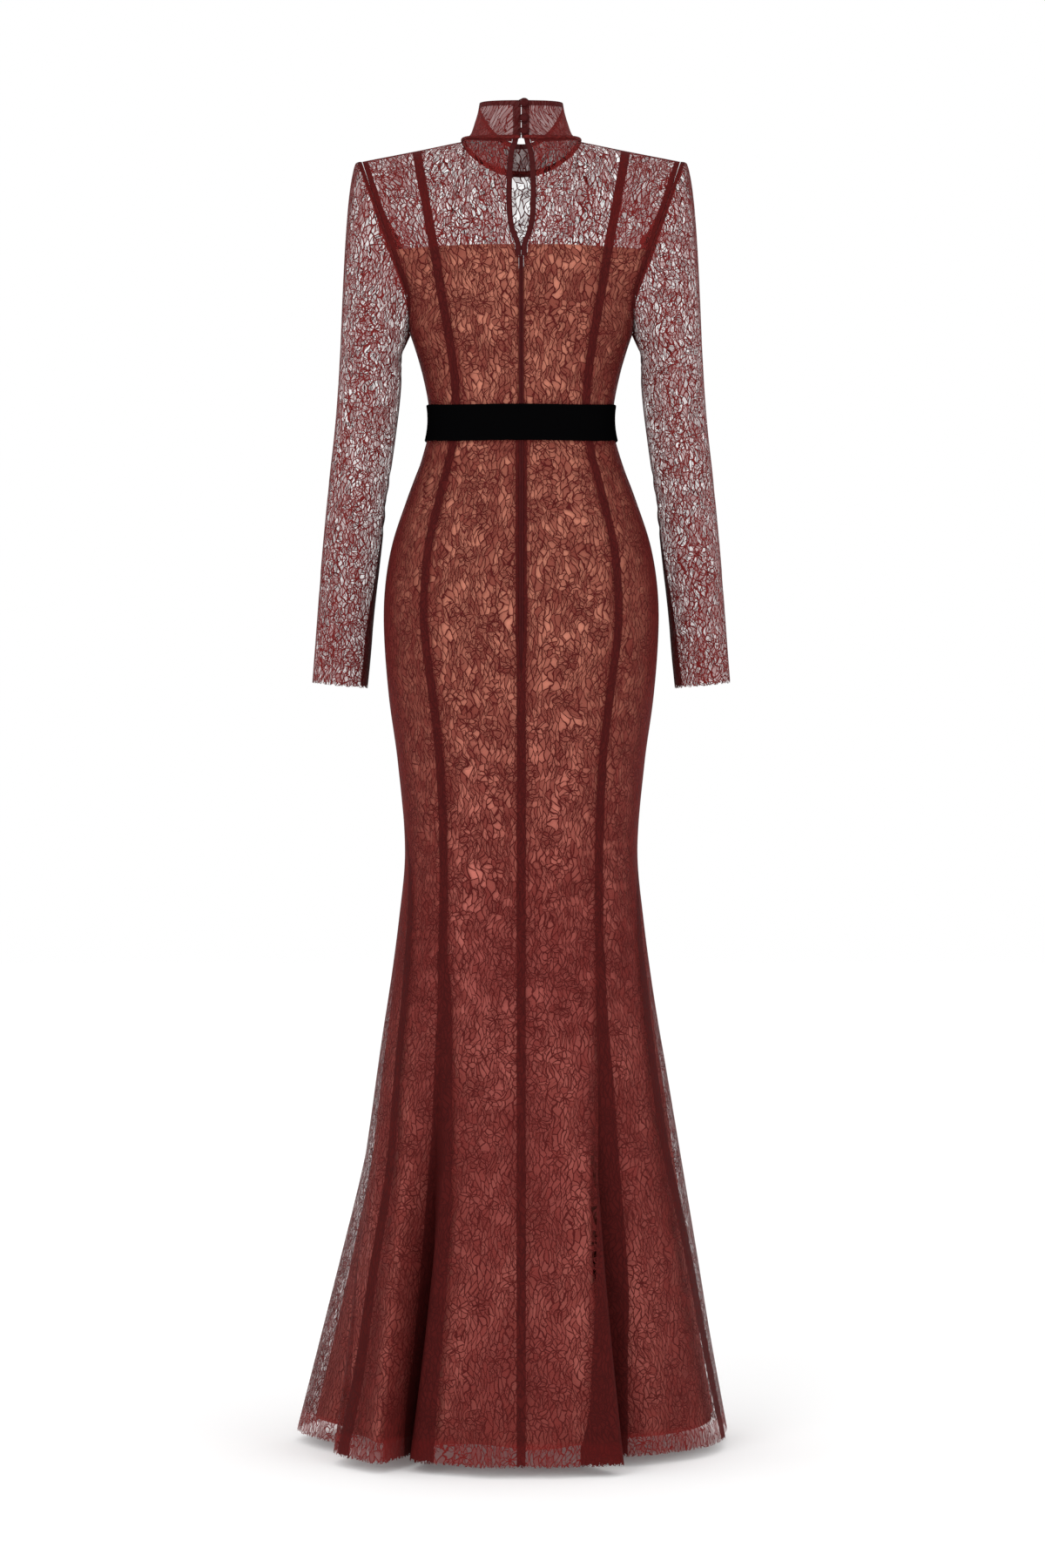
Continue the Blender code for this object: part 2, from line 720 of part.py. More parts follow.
def collar_and_buttons():
    front, back = collar_grids()
    wall_solid("collar", front, back, corded_lace())
    edge = [line[0] for line in front]
    for number, z in enumerate(BUTTON_HEIGHTS, 1):
        low, high = next((pair for pair in zip(edge, edge[1:]) if z <= pair[1].z), edge[-2:])
        slope = high - low
        seat = low + slope * ((z - low.z) / slope.z)
        seat.x = BUTTON_SIDE
        normal = slope.cross(Vector((1, 0, 0))).normalized()
        if normal.y < 0:
            normal = -normal
        bm = bmesh.new()
        bmesh.ops.create_uvsphere(bm, u_segments=12, v_segments=8, radius=BUTTON_RADIUS * MM)
        bmesh.ops.scale(bm, vec=(1, 1, BUTTON_HALF_DEPTH / BUTTON_RADIUS), verts=bm.verts)
        turn = Vector((0, 0, 1)).rotation_difference(normal).to_matrix()
        bmesh.ops.rotate(bm, cent=(0, 0, 0), matrix=turn, verts=bm.verts)
        place = seat + normal * (BUTTON_HALF_DEPTH + BUTTON_GAPS[number - 1])
        bmesh.ops.translate(bm, vec=place * MM, verts=bm.verts)
        finish(bm, f"button_{number}", covered_satin())


def armhole_loop(points):
    """The left armhole, from the shoulder tip down the back to the underarm and up the front."""
    rows = YOKE_ROWS + LEVEL_ROWS
    bottom = rows.index(UNDERARM)
    back_edge = [points[1][r][-1] for r in range(bottom + 1)]
    front_edge = [points[2][r][0] for r in range(bottom + 1)]
    return back_edge + front_edge[-2:0:-1]


def sleeve_ring(count, ring):
    middle = (ring.outer + ring.inner) / 2
    half = (ring.outer - ring.inner) / 2
    points = []
    for j in range(count):
        angle = 2 * math.pi * j / count
        x = middle + half * math.cos(angle)
        tilt = SLEEVE_TILT * half * math.cos(angle)
        points.append(Vector((x, ring.middle_y + ring.depth * math.sin(angle), ring.z + tilt)))
    return points


def sleeve_grid(points):
    """Face of the left sleeve: the cap rounds over from the armhole, then the rings follow."""
    loop = armhole_loop(points)
    count = len(loop)
    first_ring = sleeve_ring(count, SLEEVE_RINGS[0])
    grid = []
    for r, top_step in enumerate(CAP_STEPS):
        line = []
        for j in range(count):
            around = abs(HALF_TURN - FULL_TURN * j / count) / HALF_TURN  # 1 at the top, 0 below
            step = blend(r / len(CAP_STEPS), top_step, around**2)
            power = blend(1.0, CAP_ROUND, around**1.3)
            reach = step**power
            rise = CAP_RISE * around**4 * (1 if top_step == CAP_RISE_STEP else 0)
            start, end = loop[j], first_ring[j]
            line.append(
                Vector(
                    (
                        blend(start.x, end.x, reach),
                        blend(start.y, end.y, reach),
                        blend(start.z, end.z, step) + rise,
                    )
                )
            )
        grid.append(line)
    for j in range(count):
        seam = loop[(j + 1) % count] - loop[j - 1]
        away = grid[1][j] - grid[0][j]
        away = away - seam * (away.dot(seam) / seam.length_squared)
        grid[0][j] = grid[0][j] + away.normalized() * ARMHOLE_GAP
    return grid + [sleeve_ring(count, ring) for ring in SLEEVE_RINGS]


def tube_back(grid, wall):
    """The inner face of a tube whose columns run counter-clockwise seen from above."""
    back = []
    for r, line in enumerate(grid):
        up = grid[max(r - 1, 0)]
        down = grid[min(r + 1, len(grid) - 1)]
        count = len(line)
        back.append([])
        for j, spot in enumerate(line):
            across = line[(j + 1) % count] - line[j - 1]
            normal = across.cross(up[j] - down[j]).normalized()
            back[-1].append(spot - normal * wall)
    return back


def mirrored(grid):
    return [[Vector((-p.x, p.y, p.z)) for p in line] for line in grid]


def sleeves(points):
    front = sleeve_grid(points)
    back = tube_back(front, LACE)
    wall_solid("sleeve_left", front, back, corded_lace(), tube=True)
    wall_solid("sleeve_right", mirrored(front), mirrored(back), corded_lace(), tube=True)


def main():
    for old in list(bpy.data.objects):
        bpy.data.objects.remove(old, do_unlink=True)
    points, outward = lace_panels()
    lining_panels()
    belt(points, outward)
    keyhole_bindings()
    back_zip()
    collar_and_buttons()
    sleeves(points)


main()
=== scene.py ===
# %% [markdown]
# # Mermaid gown in corded lace
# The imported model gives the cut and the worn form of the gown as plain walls. This lesson dresses
# it: every panel is remade as a thin, fine sheet of corded lace on the same form functions, the
# nude lining shows through it, and the belt, bindings, zip and buttons get their own finishes.
# It keeps its hollow worn form, so the neck, hem and cuffs stay open.

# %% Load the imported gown
import math
from collections import namedtuple
from functools import cache

import bmesh
import bpy
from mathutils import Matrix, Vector


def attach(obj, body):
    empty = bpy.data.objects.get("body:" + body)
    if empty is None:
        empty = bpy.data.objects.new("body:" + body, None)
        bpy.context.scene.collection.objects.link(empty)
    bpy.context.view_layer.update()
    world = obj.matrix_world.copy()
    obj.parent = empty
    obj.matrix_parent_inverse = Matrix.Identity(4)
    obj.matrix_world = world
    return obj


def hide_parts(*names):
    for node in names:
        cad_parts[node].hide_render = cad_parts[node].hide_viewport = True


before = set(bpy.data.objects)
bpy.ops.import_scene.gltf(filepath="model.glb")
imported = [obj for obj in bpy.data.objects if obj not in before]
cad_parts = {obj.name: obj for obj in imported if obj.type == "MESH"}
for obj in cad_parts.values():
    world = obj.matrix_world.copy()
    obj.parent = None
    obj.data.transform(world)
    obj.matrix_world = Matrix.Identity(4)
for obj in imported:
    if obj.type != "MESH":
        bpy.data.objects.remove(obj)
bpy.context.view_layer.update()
MM = 0.001

# %% [markdown]
# ## Sizes
# The gown is drafted in millimetres from a few tables: level sections of the body of the gown,
# the folds at the hem, the keyhole, the collar and the sleeve. It could be sculpted instead, but
# a table can be read and changed like a pattern cutter's chart. The origin lies between the
# shoulders, level with the side of the neck; the wearer faces -Y and the wearer's left is +X.


# %% Sections of the gown and its seams
def rows_of(kind, *rows):
    """A table whose rows all have the named columns of one kind."""
    return tuple(kind(*row) for row in rows)


UNDERARM = -232.0
YOKE_BOTTOM = -150.0
KNEE = -839.0
HEM = -1530.0
LINING_HEM = -1513.0
ROUNDNESS = 0.9

Section = namedtuple("Section", "z half back front princess")
SECTIONS = rows_of(
    Section,
    (-150, 172.0, 92, 106, 99.5),
    (-190, 147.5, 92, 122, 93.5),
    (-232, 131.0, 89, 115, 86.0),
    (-272, 118.5, 86, 101, 80.0),
    (-312, 110.0, 82.5, 88, 76.5),
    (-340, 108.5, 81.5, 85, 77.0),
    (-376, 117.0, 89, 90, 82.5),
    (-427, 135.5, 103, 96, 94.5),
    (-479, 152.5, 116, 100, 106.5),
    (-530, 161.0, 122, 101, 112.0),
    (-582, 162.3, 123, 100, 112.5),
    (-659, 156.5, 117, 97, 103.0),
    (-736, 146.0, 108, 94, 94.5),
    (-839, 137.5, 101, 93, 90.8),
    (-917, 144.0, 107, 99, 90.6),
    (-1020, 158.0, 124, 117, 92.0),
    (-1123, 176.0, 146, 141, 96.0),
    (-1226, 196.0, 169, 165, 99.0),
    (-1329, 217.0, 191, 187, 101.0),
    (-1432, 237.5, 212, 207, 103.0),
    (-1530, 258.0, 231, 226, 105.0),
)
Armhole = namedtuple("Armhole", "z angle")
ARMHOLE = rows_of(
    Armhole,
    (-150, 33.0),
    (-180, 28.5),
    (-210, 18.5),
    (-232, 0.0),
)
SIDE_SWING_LEFT = 19.0
SIDE_SWING_RIGHT = 3.0

Panel = namedtuple("Panel", "name first last face")
PANELS = rows_of(
    Panel,
    ("centre_back_left", "back", "princess_back_left", 1),
    ("side_back_left", "princess_back_left", "side_left", 1),
    ("side_front_left", "side_left", "princess_front_left", -1),
    ("centre_front", "princess_front_left", "princess_front_right", -1),
    ("side_front_right", "princess_front_right", "side_right", -1),
    ("side_back_right", "side_right", "princess_back_right", 1),
    ("centre_back_right", "princess_back_right", "back_again", 1),
)
print("sections", len(SECTIONS), "panels", len(PANELS))

# %% Folds at the hem, the yoke and the fastening
Fold = namedtuple("Fold", "seam start before_x before_y valley_x valley_y after_x after_y")
FOLDS = rows_of(
    Fold,
    ("princess_back_left", -985, 130, 184, 104, 106, 154, 203),
    ("side_left", -1040, 217, 131, 203, 78, 233, 50),
    ("princess_front_left", -1000, 158, -168, 106, -118, 124, -196),
    ("princess_front_right", -1000, -118, -200, -96, -124, -150, -176),
    ("side_right", -1080, -246, -32, -240, 8, -240, 34),
    ("princess_back_right", -975, -123, 159, -68, 130, -120, 209),
)
FOLD_GROWTH = 1.5
Gore = namedtuple("Gore", "panel x y")
GORES = rows_of(
    Gore,
    ("centre_back_left", 62, 224),
    ("side_back_left", 188, 172),
    ("side_front_left", 262, -46),
    ("centre_front", 0, -229),
    ("side_front_right", -224, -112),
    ("side_back_right", -202, 104),
    ("centre_back_right", -58, 226),
)
HEM_CENTRE_BACK = 231.0
CREST = 0.75
CREST_SOFTNESS = 0.045  # share of a panel over which a fold's crest is rounded
OPENING_REACH = 0.5

NECK_HALF = 67.5
NECK_BACK = 62.0
NECK_FRONT = 66.0
NECK_SIDE_Z = -3.0
NECK_BACK_DROP = 6.5
NECK_FRONT_DROP = 28.0
NECK_DROP_POWER = 1.5
YOKE_RISE = 0.75
YOKE_REACH = 0.6
NECK_FILL = 44.0
NECK_FILL_OUT = 0.75
NECK_FILL_IN = 0.3
PRINCESS_TOP = 124.0
SHOULDER_TIP = 188.0
SHOULDER_SLOPE = -0.195
LINING_TOP = 0.07

Keyhole = namedtuple("Keyhole", "z half")
KEYHOLE = rows_of(
    Keyhole,
    (-9.5, 3.2),
    (-17, 4.8),
    (-27, 8.0),
    (-47, 10.0),
    (-77, 10.8),
    (-103, 9.8),
    (-118, 7.2),
    (-136, 0.5),
)
SEAM_GAP = 0.3
BINDING_WIDTH = 6.7
BINDING_PROUD = 0.7
ZIP_HALF = 2.6
ZIP_END_HALF = 0.4
ZIP_END = -590.0
ZIP_TAPER_END = -640.0
BELT_WALL = 1.8
BELT_TOP = -314.7
BELT_WIDTH = 42.5
BELT_DIP = 6.0
BELT_ROW = -340.0
LINING_OFFSET = 3.0
LINING_OFFSET_HEM = 13.0
print("folds", len(FOLDS), "gores", len(GORES))

# %% [markdown]
# ## Form of the gown
# A smooth curve through each table gives a value at any height. A level section is close to an
# ellipse, each panel is a share of it, and below the knee each seam is drawn in to a valley
# between two crests. The yoke is bent over from its level bottom row to the shoulder seam. A
# simulation could hang the skirt, but it is fitted to the knee and its folds are in its cut.


# %% Small geometry
def blend(first, second, share):
    return first + (second - first) * share


def smooth(share):
    share = min(1.0, max(0.0, share))
    return share * share * (3 - 2 * share)


def eased(rows, value, place, key="z"):
    """A named column of a table at any place, on a smooth curve through its rows."""
    spots = [getattr(row, key) for row in rows]
    values = [getattr(row, value) for row in rows]
    if spots[0] > spots[-1]:
        spots = [-spot for spot in spots]
        place = -place
    if place <= spots[0]:
        return values[0]
    if place >= spots[-1]:
        return values[-1]
    index = max(i for i, spot in enumerate(spots) if spot <= place)
    index = min(index, len(spots) - 2)
    slopes = []
    for i in (index, index + 1):
        low = max(i - 1, 0)
        high = min(i + 1, len(spots) - 1)
        slopes.append((values[high] - values[low]) / (spots[high] - spots[low]))
    width = spots[index + 1] - spots[index]
    t = (place - spots[index]) / width
    start = (1 + 2 * t) * (1 - t) ** 2 * values[index] + t * (1 - t) ** 2 * slopes[0] * width
    end = t * t * (3 - 2 * t) * values[index + 1] + t * t * (t - 1) * slopes[1] * width
    return start + end


@cache
def section_at(z):
    return Section(z, *(eased(SECTIONS, key, z) for key in ("half", "back", "front", "princess")))


def ring_point(angle, z):
    """A point of the plain section at height z. 90 degrees is centre back, 0 the left side."""
    along = math.cos(math.radians(angle))
    across = math.sin(math.radians(angle))
    section = section_at(z)
    depth = section.back if across > 0 else section.front
    return Vector(
        (
            section.half * math.copysign(abs(along) ** ROUNDNESS, along),
            depth * math.copysign(abs(across) ** ROUNDNESS, across),
            z,
        )
    )


# %% Where the seams run
@cache
def edge_angle(edge, face, z):
    if edge.startswith("side"):
        if z > UNDERARM:
            swing = eased(ARMHOLE, "angle", z) * face
        else:
            most = SIDE_SWING_LEFT if edge == "side_left" else SIDE_SWING_RIGHT
            swing = most * smooth((KNEE - z) / (KNEE - HEM))
        return swing if edge == "side_left" else -180 - swing
    section = section_at(z)
    princess = math.degrees(math.acos((section.princess / section.half) ** (1 / ROUNDNESS)))
    return {
        "back": 90.0,
        "princess_back_left": princess,
        "princess_front_left": -princess,
        "princess_front_right": -180 + princess,
        "princess_back_right": -180 - princess,
        "back_again": 90.0 - 360,
    }[edge]


def plain_point(panel, cut, z):
    first = edge_angle(panel.first, panel.face, z)
    last = edge_angle(panel.last, panel.face, z)
    return ring_point(blend(first, last, cut), z)


# %% The folds of the skirt
HemKnot = namedtuple("HemKnot", "cut x y")


def fold_at(edge):
    return next((fold for fold in FOLDS if fold.seam == edge), None)


@cache
def hem_knots(panel):
    """The panel's hem seen from above, from its first seam to its last."""
    crest = (1 - CREST) / 2 if panel.name == "centre_front" else 1 - CREST
    gore = next(gore for gore in GORES if gore.panel == panel.name)
    first = fold_at(panel.first)
    last = fold_at(panel.last)
    knots = [HemKnot(0.5, gore.x, gore.y)]
    if first:
        knots.insert(0, HemKnot(crest, first.after_x, first.after_y))
        knots.insert(0, HemKnot(0.0, first.valley_x, first.valley_y))
    else:
        knots.insert(0, HemKnot(0.0, 0.0, HEM_CENTRE_BACK))
    if last:
        knots.append(HemKnot(1 - crest, last.before_x, last.before_y))
        knots.append(HemKnot(1.0, last.valley_x, last.valley_y))
    else:
        knots.append(HemKnot(1.0, 0.0, HEM_CENTRE_BACK))
    return knots


def hem_line(panel, cut):
    knots = hem_knots(panel)
    for crest, valley in ((knots[1], knots[0]), (knots[-2], knots[-1])):
        share = (cut - crest.cut) / (valley.cut - crest.cut)
        if share > 0 and fold_at(panel.first if valley.cut == 0 else panel.last):
            return Vector((blend(crest.x, valley.x, share), blend(crest.y, valley.y, share), HEM))
    return Vector((eased(knots, "x", cut, "cut"), eased(knots, "y", cut, "cut"), HEM))


@cache
def hem_shift(panel, cut):
    """How far the folds move a point of the hem, with the crests rounded a little."""
    reach = min(CREST_SOFTNESS, cut, 1 - cut)
    spots = [hem_line(panel, cut + reach * step / 3) for step in (-3, -2, -1, 0, 1, 2, 3)]
    return sum(spots, Vector((0, 0, 0))) / len(spots) - plain_point(panel, cut, HEM)


def fold_growth(panel, cut, z):
    first = fold_at(panel.first) or fold_at(panel.last)
    last = fold_at(panel.last) or fold_at(panel.first)
    start = blend(first.start, last.start, cut)
    return max(0.0, (start - z) / (start - HEM)) ** FOLD_GROWTH


# %% The yoke and the shoulder
def neck_point(turn, side, face):
    """The neckline, from the side of the neck (turn 0) to its centre (turn 1)."""
    angle = math.radians(90 * turn)
    depth = NECK_BACK if face > 0 else NECK_FRONT
    drop = NECK_BACK_DROP if face > 0 else NECK_FRONT_DROP
    return Vector(
        (
            NECK_HALF * math.cos(angle) * side,
            depth * math.sin(angle) * face,
            NECK_SIDE_Z - drop * math.sin(angle) ** NECK_DROP_POWER,
        )
    )


def top_place(panel, cut):
    """The side of a point of the top edge, and its way out: 0 centre, 0.5 side of the neck, 1
    princess seam, 2 shoulder tip."""
    side = 1 if panel.name.endswith("left") else -1
    if panel.name == "centre_front":
        return (1 if cut <= 0.5 else -1), abs(2 * cut - 1)
    way = cut if side * panel.face > 0 else 1 - cut
    if panel.name.startswith("side"):
        way = 1 + way
    return side, way


@cache
def top_point(panel, cut):
    side, way = top_place(panel, cut)
    if way < 0.5:
        return neck_point(1 - 2 * way, side, panel.face)
    if way <= 1:
        out = blend(NECK_HALF, PRINCESS_TOP, 2 * way - 1)
    else:
        out = blend(PRINCESS_TOP, SHOULDER_TIP, way - 1)
    return Vector((out * side, 0, NECK_SIDE_Z + (out - NECK_HALF) * SHOULDER_SLOPE))


@cache
def yoke_bottom(panel, cut):
    return plain_point(panel, cut, YOKE_BOTTOM)


def yoke_point(panel, cut, share):
    low = yoke_bottom(panel, cut)
    high = top_point(panel, cut)
    turn = math.radians(90 * share)
    rise = blend(share, math.sin(turn), YOKE_RISE)
    reach = blend(share, 1 - math.cos(turn), YOKE_REACH)
    way = top_place(panel, cut)[1]
    neck = 1 - smooth(abs(way - 0.5) / (NECK_FILL_OUT if way > 0.5 else NECK_FILL_IN))
    fill = NECK_FILL * neck * math.sqrt(1 - share) * share * share * panel.face
    return Vector(
        (blend(low.x, high.x, rise), blend(low.y, high.y, reach) + fill, blend(low.z, high.z, rise))
    )


# %% One point of the gown
def zip_half(z):
    return blend(ZIP_HALF, ZIP_END_HALF, smooth((ZIP_END - z) / (ZIP_END - ZIP_TAPER_END)))


def centre_opening(z, in_yoke):
    if in_yoke:
        return eased(KEYHOLE, "half", z) + BINDING_WIDTH + SEAM_GAP
    if z >= ZIP_TAPER_END:
        return zip_half(z) + SEAM_GAP
    return 0.0


def gown_point(panel, cut, row):
    """A point of the lace. A row is a share of the yoke's height or, below it, a level height."""
    in_yoke = row > 0
    if in_yoke:
        point = yoke_point(panel, cut, row)
    else:
        point = plain_point(panel, cut, row)
        growth = fold_growth(panel, cut, row)
        if growth > 0:
            point += hem_shift(panel, cut) * growth
    if panel.name.startswith("centre_back"):
        side = 1 if panel.name.endswith("left") else -1
        from_centre = cut if side > 0 else 1 - cut
        opening = centre_opening(point.z, in_yoke)
        point.x += side * opening * max(0.0, 1 - from_centre / OPENING_REACH)
    return point


# %% [markdown]
# ## Making a sheet
# Every cloth piece starts as a flat grid and has its points moved onto the form, which is how a
# cut piece of cloth is laid on a stand. Its UV map is in metres along the cloth, so that the lace
# keeps its real scale, and small float layers say how far each point is from a seam or raw edge.
# Painted masks would do the same, but a measured distance stays sharp however close one looks.


# %% A sheet from rows of points
def arc_lengths(line):
    lengths = [0.0]
    for here, after in zip(line, line[1:]):
        lengths.append(lengths[-1] + (after - here).length)
    return lengths


def cloth_uvs(points, offset):
    """Metres along the cloth: across from the middle column, and down it."""
    middle = len(points[0]) // 2
    down = arc_lengths([line[middle] for line in points])
    uvs = []
    for line, v in zip(points, down):
        across = arc_lengths(line)
        uvs.append([((u - across[middle]) * MM + offset, -v * MM) for u in across])
    return uvs


def lengths_down(points):
    return [arc_lengths([line[c] for line in points]) for c in range(len(points[0]))]


LAYERS = ("band", "raw", "dense", "sheer")


def layers_from(points, values_at):
    """Float layers from a function that gives band, raw, dense and sheer at a row and column."""
    grid = [[values_at(r, c) for c in range(len(line))] for r, line in enumerate(points)]
    return {key: [[spot[i] for spot in line] for line in grid] for i, key in enumerate(LAYERS)}


def new_object(name, bm, surface):
    """A smooth object of one material, at the origin."""
    mesh = bpy.data.meshes.new(name)
    bm.to_mesh(mesh)
    bm.free()
    mesh.shade_smooth()
    mesh.materials.append(surface)
    made = bpy.data.objects.new(name, mesh)
    bpy.context.scene.collection.objects.link(made)
    print("made", name, len(mesh.vertices), "points")
    return made


def make_sheet(
    name, points, surface, layers=None, uv_offset=0.0, outward=None, closed=False, uvs=None
):
    """A grid of quads through rows of points, in millimetres. Layers and UVs are lists like
    points."""
    rows, columns = len(points) - 1, len(points[0]) - 1
    bm = bmesh.new()
    uv_layer = bm.loops.layers.uv.new("UVMap")
    floats = {key: bm.verts.layers.float.new(key) for key in (layers or {})}
    bmesh.ops.create_grid(bm, x_segments=columns, y_segments=rows, size=1, calc_uvs=True)
    uvs = uvs or cloth_uvs(points, uv_offset)
    places = {}
    for vert in bm.verts:
        c = round((vert.co.x + 1) / 2 * columns)
        r = round((1 - vert.co.y) / 2 * rows)
        places[vert] = (r, c)
        vert.co = points[r][c] * MM
        for key, layer in floats.items():
            vert[layer] = layers[key][r][c]
    for face in bm.faces:
        for loop in face.loops:
            r, c = places[loop.vert]
            loop[uv_layer].uv = uvs[r][c]
    bm.normal_update()
    if outward is not None:
        centre = (rows // 2, columns // 2)
        middle = next(face for face in bm.faces if centre in [places[v] for v in face.verts])
        if middle.normal.dot(outward) < 0:
            bmesh.ops.reverse_faces(bm, faces=bm.faces)
    if closed:
        bmesh.ops.remove_doubles(bm, verts=bm.verts, dist=0.00001)
        bmesh.ops.recalc_face_normals(bm, faces=bm.faces)
    made = new_object(name, bm, surface)
    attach(made, "root")
    return made


# %% [markdown]
# ## Corded lace
# The real lace is a fine tulle with a raised cord worked over it in a restless web: upright
# almond cells, denser knots of small cells, and loose round flowers with a fan of lines. It could
# be a curve for each cord, but there are many thousands, so a shader draws them all from the
# cloth's own UV map in millimetres. Cords and tulle are opaque or half opaque, and between them
# one sees through. Seam allowances double the cloth, so it closes up beside each seam. Where no
# lining lies behind, the lace is given a brighter red, in place of the light that would come
# through its threads, which are opaque here.


# %% Node helpers
def new_group(name, inputs, outputs):
    group = bpy.data.node_groups.new(name, "ShaderNodeTree")
    for label, kind, value in inputs:
        socket = group.interface.new_socket(label, in_out="INPUT", socket_type=kind)
        if value is not None:
            socket.default_value = value
    for label, kind in outputs:
        group.interface.new_socket(label, in_out="OUTPUT", socket_type=kind)
    return group, group.nodes.new("NodeGroupInput"), group.nodes.new("NodeGroupOutput")


def fill_sockets(tree, made, sockets):
    """Link or set a node's inputs, by name or by number."""
    for key, value in dict(sockets).items():
        if isinstance(value, bpy.types.NodeSocket):
            tree.links.new(value, made.inputs[key])
        else:
            made.inputs[key].default_value = value
    return made


def node(tree, kind, sockets=(), **settings):
    made = tree.nodes.new(kind)
    for key, value in settings.items():
        setattr(made, key, value)
    return fill_sockets(tree, made, sockets)


def calc(tree, operation, *values, clamp=False):
    return node(
        tree, "ShaderNodeMath", dict(enumerate(values)), operation=operation, use_clamp=clamp
    ).outputs[0]


def times(tree, product, *factors):
    for factor in factors:
        product = calc(tree, "MULTIPLY", product, factor)
    return product


def rest_of(tree, share):
    return calc(tree, "SUBTRACT", 1.0, share)


def vector_calc(tree, operation, *values):
    made = node(tree, "ShaderNodeVectorMath", dict(enumerate(values)), operation=operation)
    return made.outputs["Value" if operation in ("LENGTH", "DOT_PRODUCT") else "Vector"]


def step_down(tree, value, low, high):
    """1 where value is under low, falling smoothly to 0 at high."""
    return node(
        tree,
        "ShaderNodeMapRange",
        {"Value": value, "From Min": low, "From Max": high, "To Min": 1.0, "To Max": 0.0},
        interpolation_type="SMOOTHSTEP",
    ).outputs["Result"]


def mix_colour(tree, share, first, second):
    sockets = {0: share, 6: first, 7: second}
    return node(tree, "ShaderNodeMix", sockets, data_type="RGBA").outputs[2]


def mix_vector(tree, share, first, second):
    sockets = {0: share, 4: first, 5: second}
    return node(tree, "ShaderNodeMix", sockets, data_type="VECTOR").outputs[1]


def noise_at(tree, vector, scale, detail=2.0):
    sockets = {"Vector": vector, "Scale": scale, "Detail": detail}
    return node(tree, "ShaderNodeTexNoise", sockets, noise_dimensions="2D").outputs["Fac"]


def attribute(tree, name):
    return node(tree, "ShaderNodeAttribute", attribute_name=name).outputs["Fac"]


def surface_material(name):
    made = bpy.data.materials.new(name)
    made.use_nodes = True
    return made, made.node_tree, made.node_tree.nodes["Principled BSDF"]


# %% Cords of one width
def cells_near(tree, scaled, feature, randomness):
    """Voronoi cells of size 1, so scaled counts in cells."""
    return node(
        tree,
        "ShaderNodeTexVoronoi",
        {"Vector": scaled, "Scale": 1.0, "Randomness": randomness},
        feature=feature,
        voronoi_dimensions="2D",
    )


def turned(tree, vector, degrees):
    return node(
        tree,
        "ShaderNodeVectorRotate",
        {"Vector": vector, "Angle": math.radians(degrees)},
        rotation_type="Z_AXIS",
    ).outputs["Vector"]


CELL_TURN = 45.0


def even_lines(tree, scaled, size, half):
    """Cords between the cells of a web, where scaled counts in cells and size is a cell in
    millimetres. The cells stand on a corner, so they are pointed above and below like almonds.
    The distance to the line half way between the two nearest cell hearts is turned back into
    millimetres, so that a cord is as wide one way as the other."""
    scaled = turned(tree, scaled, CELL_TURN)
    nearest = cells_near(tree, scaled, "F1", WEB_RANDOMNESS)
    second = cells_near(tree, scaled, "F2", WEB_RANDOMNESS)
    hearts = nearest.outputs["Position"], second.outputs["Position"]
    run = vector_calc(tree, "NORMALIZE", vector_calc(tree, "SUBTRACT", hearts[1], hearts[0]))
    middle = vector_calc(tree, "ADD", hearts[0], hearts[1])
    middle = vector_calc(tree, "MULTIPLY", middle, (0.5, 0.5, 0.0))
    away = vector_calc(tree, "DOT_PRODUCT", vector_calc(tree, "SUBTRACT", scaled, middle), run)
    run = turned(tree, run, -CELL_TURN)
    stretch = vector_calc(tree, "LENGTH", vector_calc(tree, "DIVIDE", run, size))
    away = calc(tree, "DIVIDE", calc(tree, "ABSOLUTE", away), stretch)
    return step_down(tree, away, half - CORD_SOFTNESS, half + CORD_SOFTNESS), nearest


# %% The flowers of the web
FLOWER_CELL = (35.0, 42.0, 1.0)
FLOWER_RANDOMNESS = 0.85
FLOWER_LOBES = 5.0
RIM = 9.0
RIM_SWELL = 5.0
BLOOMING = 0.75  # share of the places that have a flower
Flower = namedtuple("Flower", "away turn rim past_rim own blooms bloom")


def flower_at(tree, bent):
    """The flower nearest to a place in millimetres: how far off and which way its heart is, its
    rim, three values of its own, whether it blooms and whether the place is inside it."""
    scaled = vector_calc(tree, "DIVIDE", bent, FLOWER_CELL)
    flower = cells_near(tree, scaled, "F1", FLOWER_RANDOMNESS)
    spoke = vector_calc(tree, "SUBTRACT", scaled, flower.outputs["Position"])
    spoke = vector_calc(tree, "MULTIPLY", spoke, FLOWER_CELL)
    away = vector_calc(tree, "LENGTH", spoke)
    parts = node(tree, "ShaderNodeSeparateXYZ", {"Vector": spoke}).outputs
    own = node(tree, "ShaderNodeSeparateColor", {"Color": flower.outputs["Color"]}).outputs
    turn = calc(tree, "ARCTAN2", parts["Y"], parts["X"])
    lobes = calc(tree, "MULTIPLY_ADD", turn, FLOWER_LOBES / 2, times(tree, own[0], 6.0))
    lobes = calc(tree, "ABSOLUTE", calc(tree, "COSINE", lobes))
    rim = calc(tree, "MULTIPLY_ADD", lobes, RIM_SWELL, RIM)
    past_rim = calc(tree, "SUBTRACT", away, rim)
    blooms = calc(tree, "LESS_THAN", own[1], BLOOMING)
    bloom = times(tree, blooms, calc(tree, "LESS_THAN", past_rim, 0.0))
    return Flower(away, turn, rim, past_rim, own, blooms, bloom)


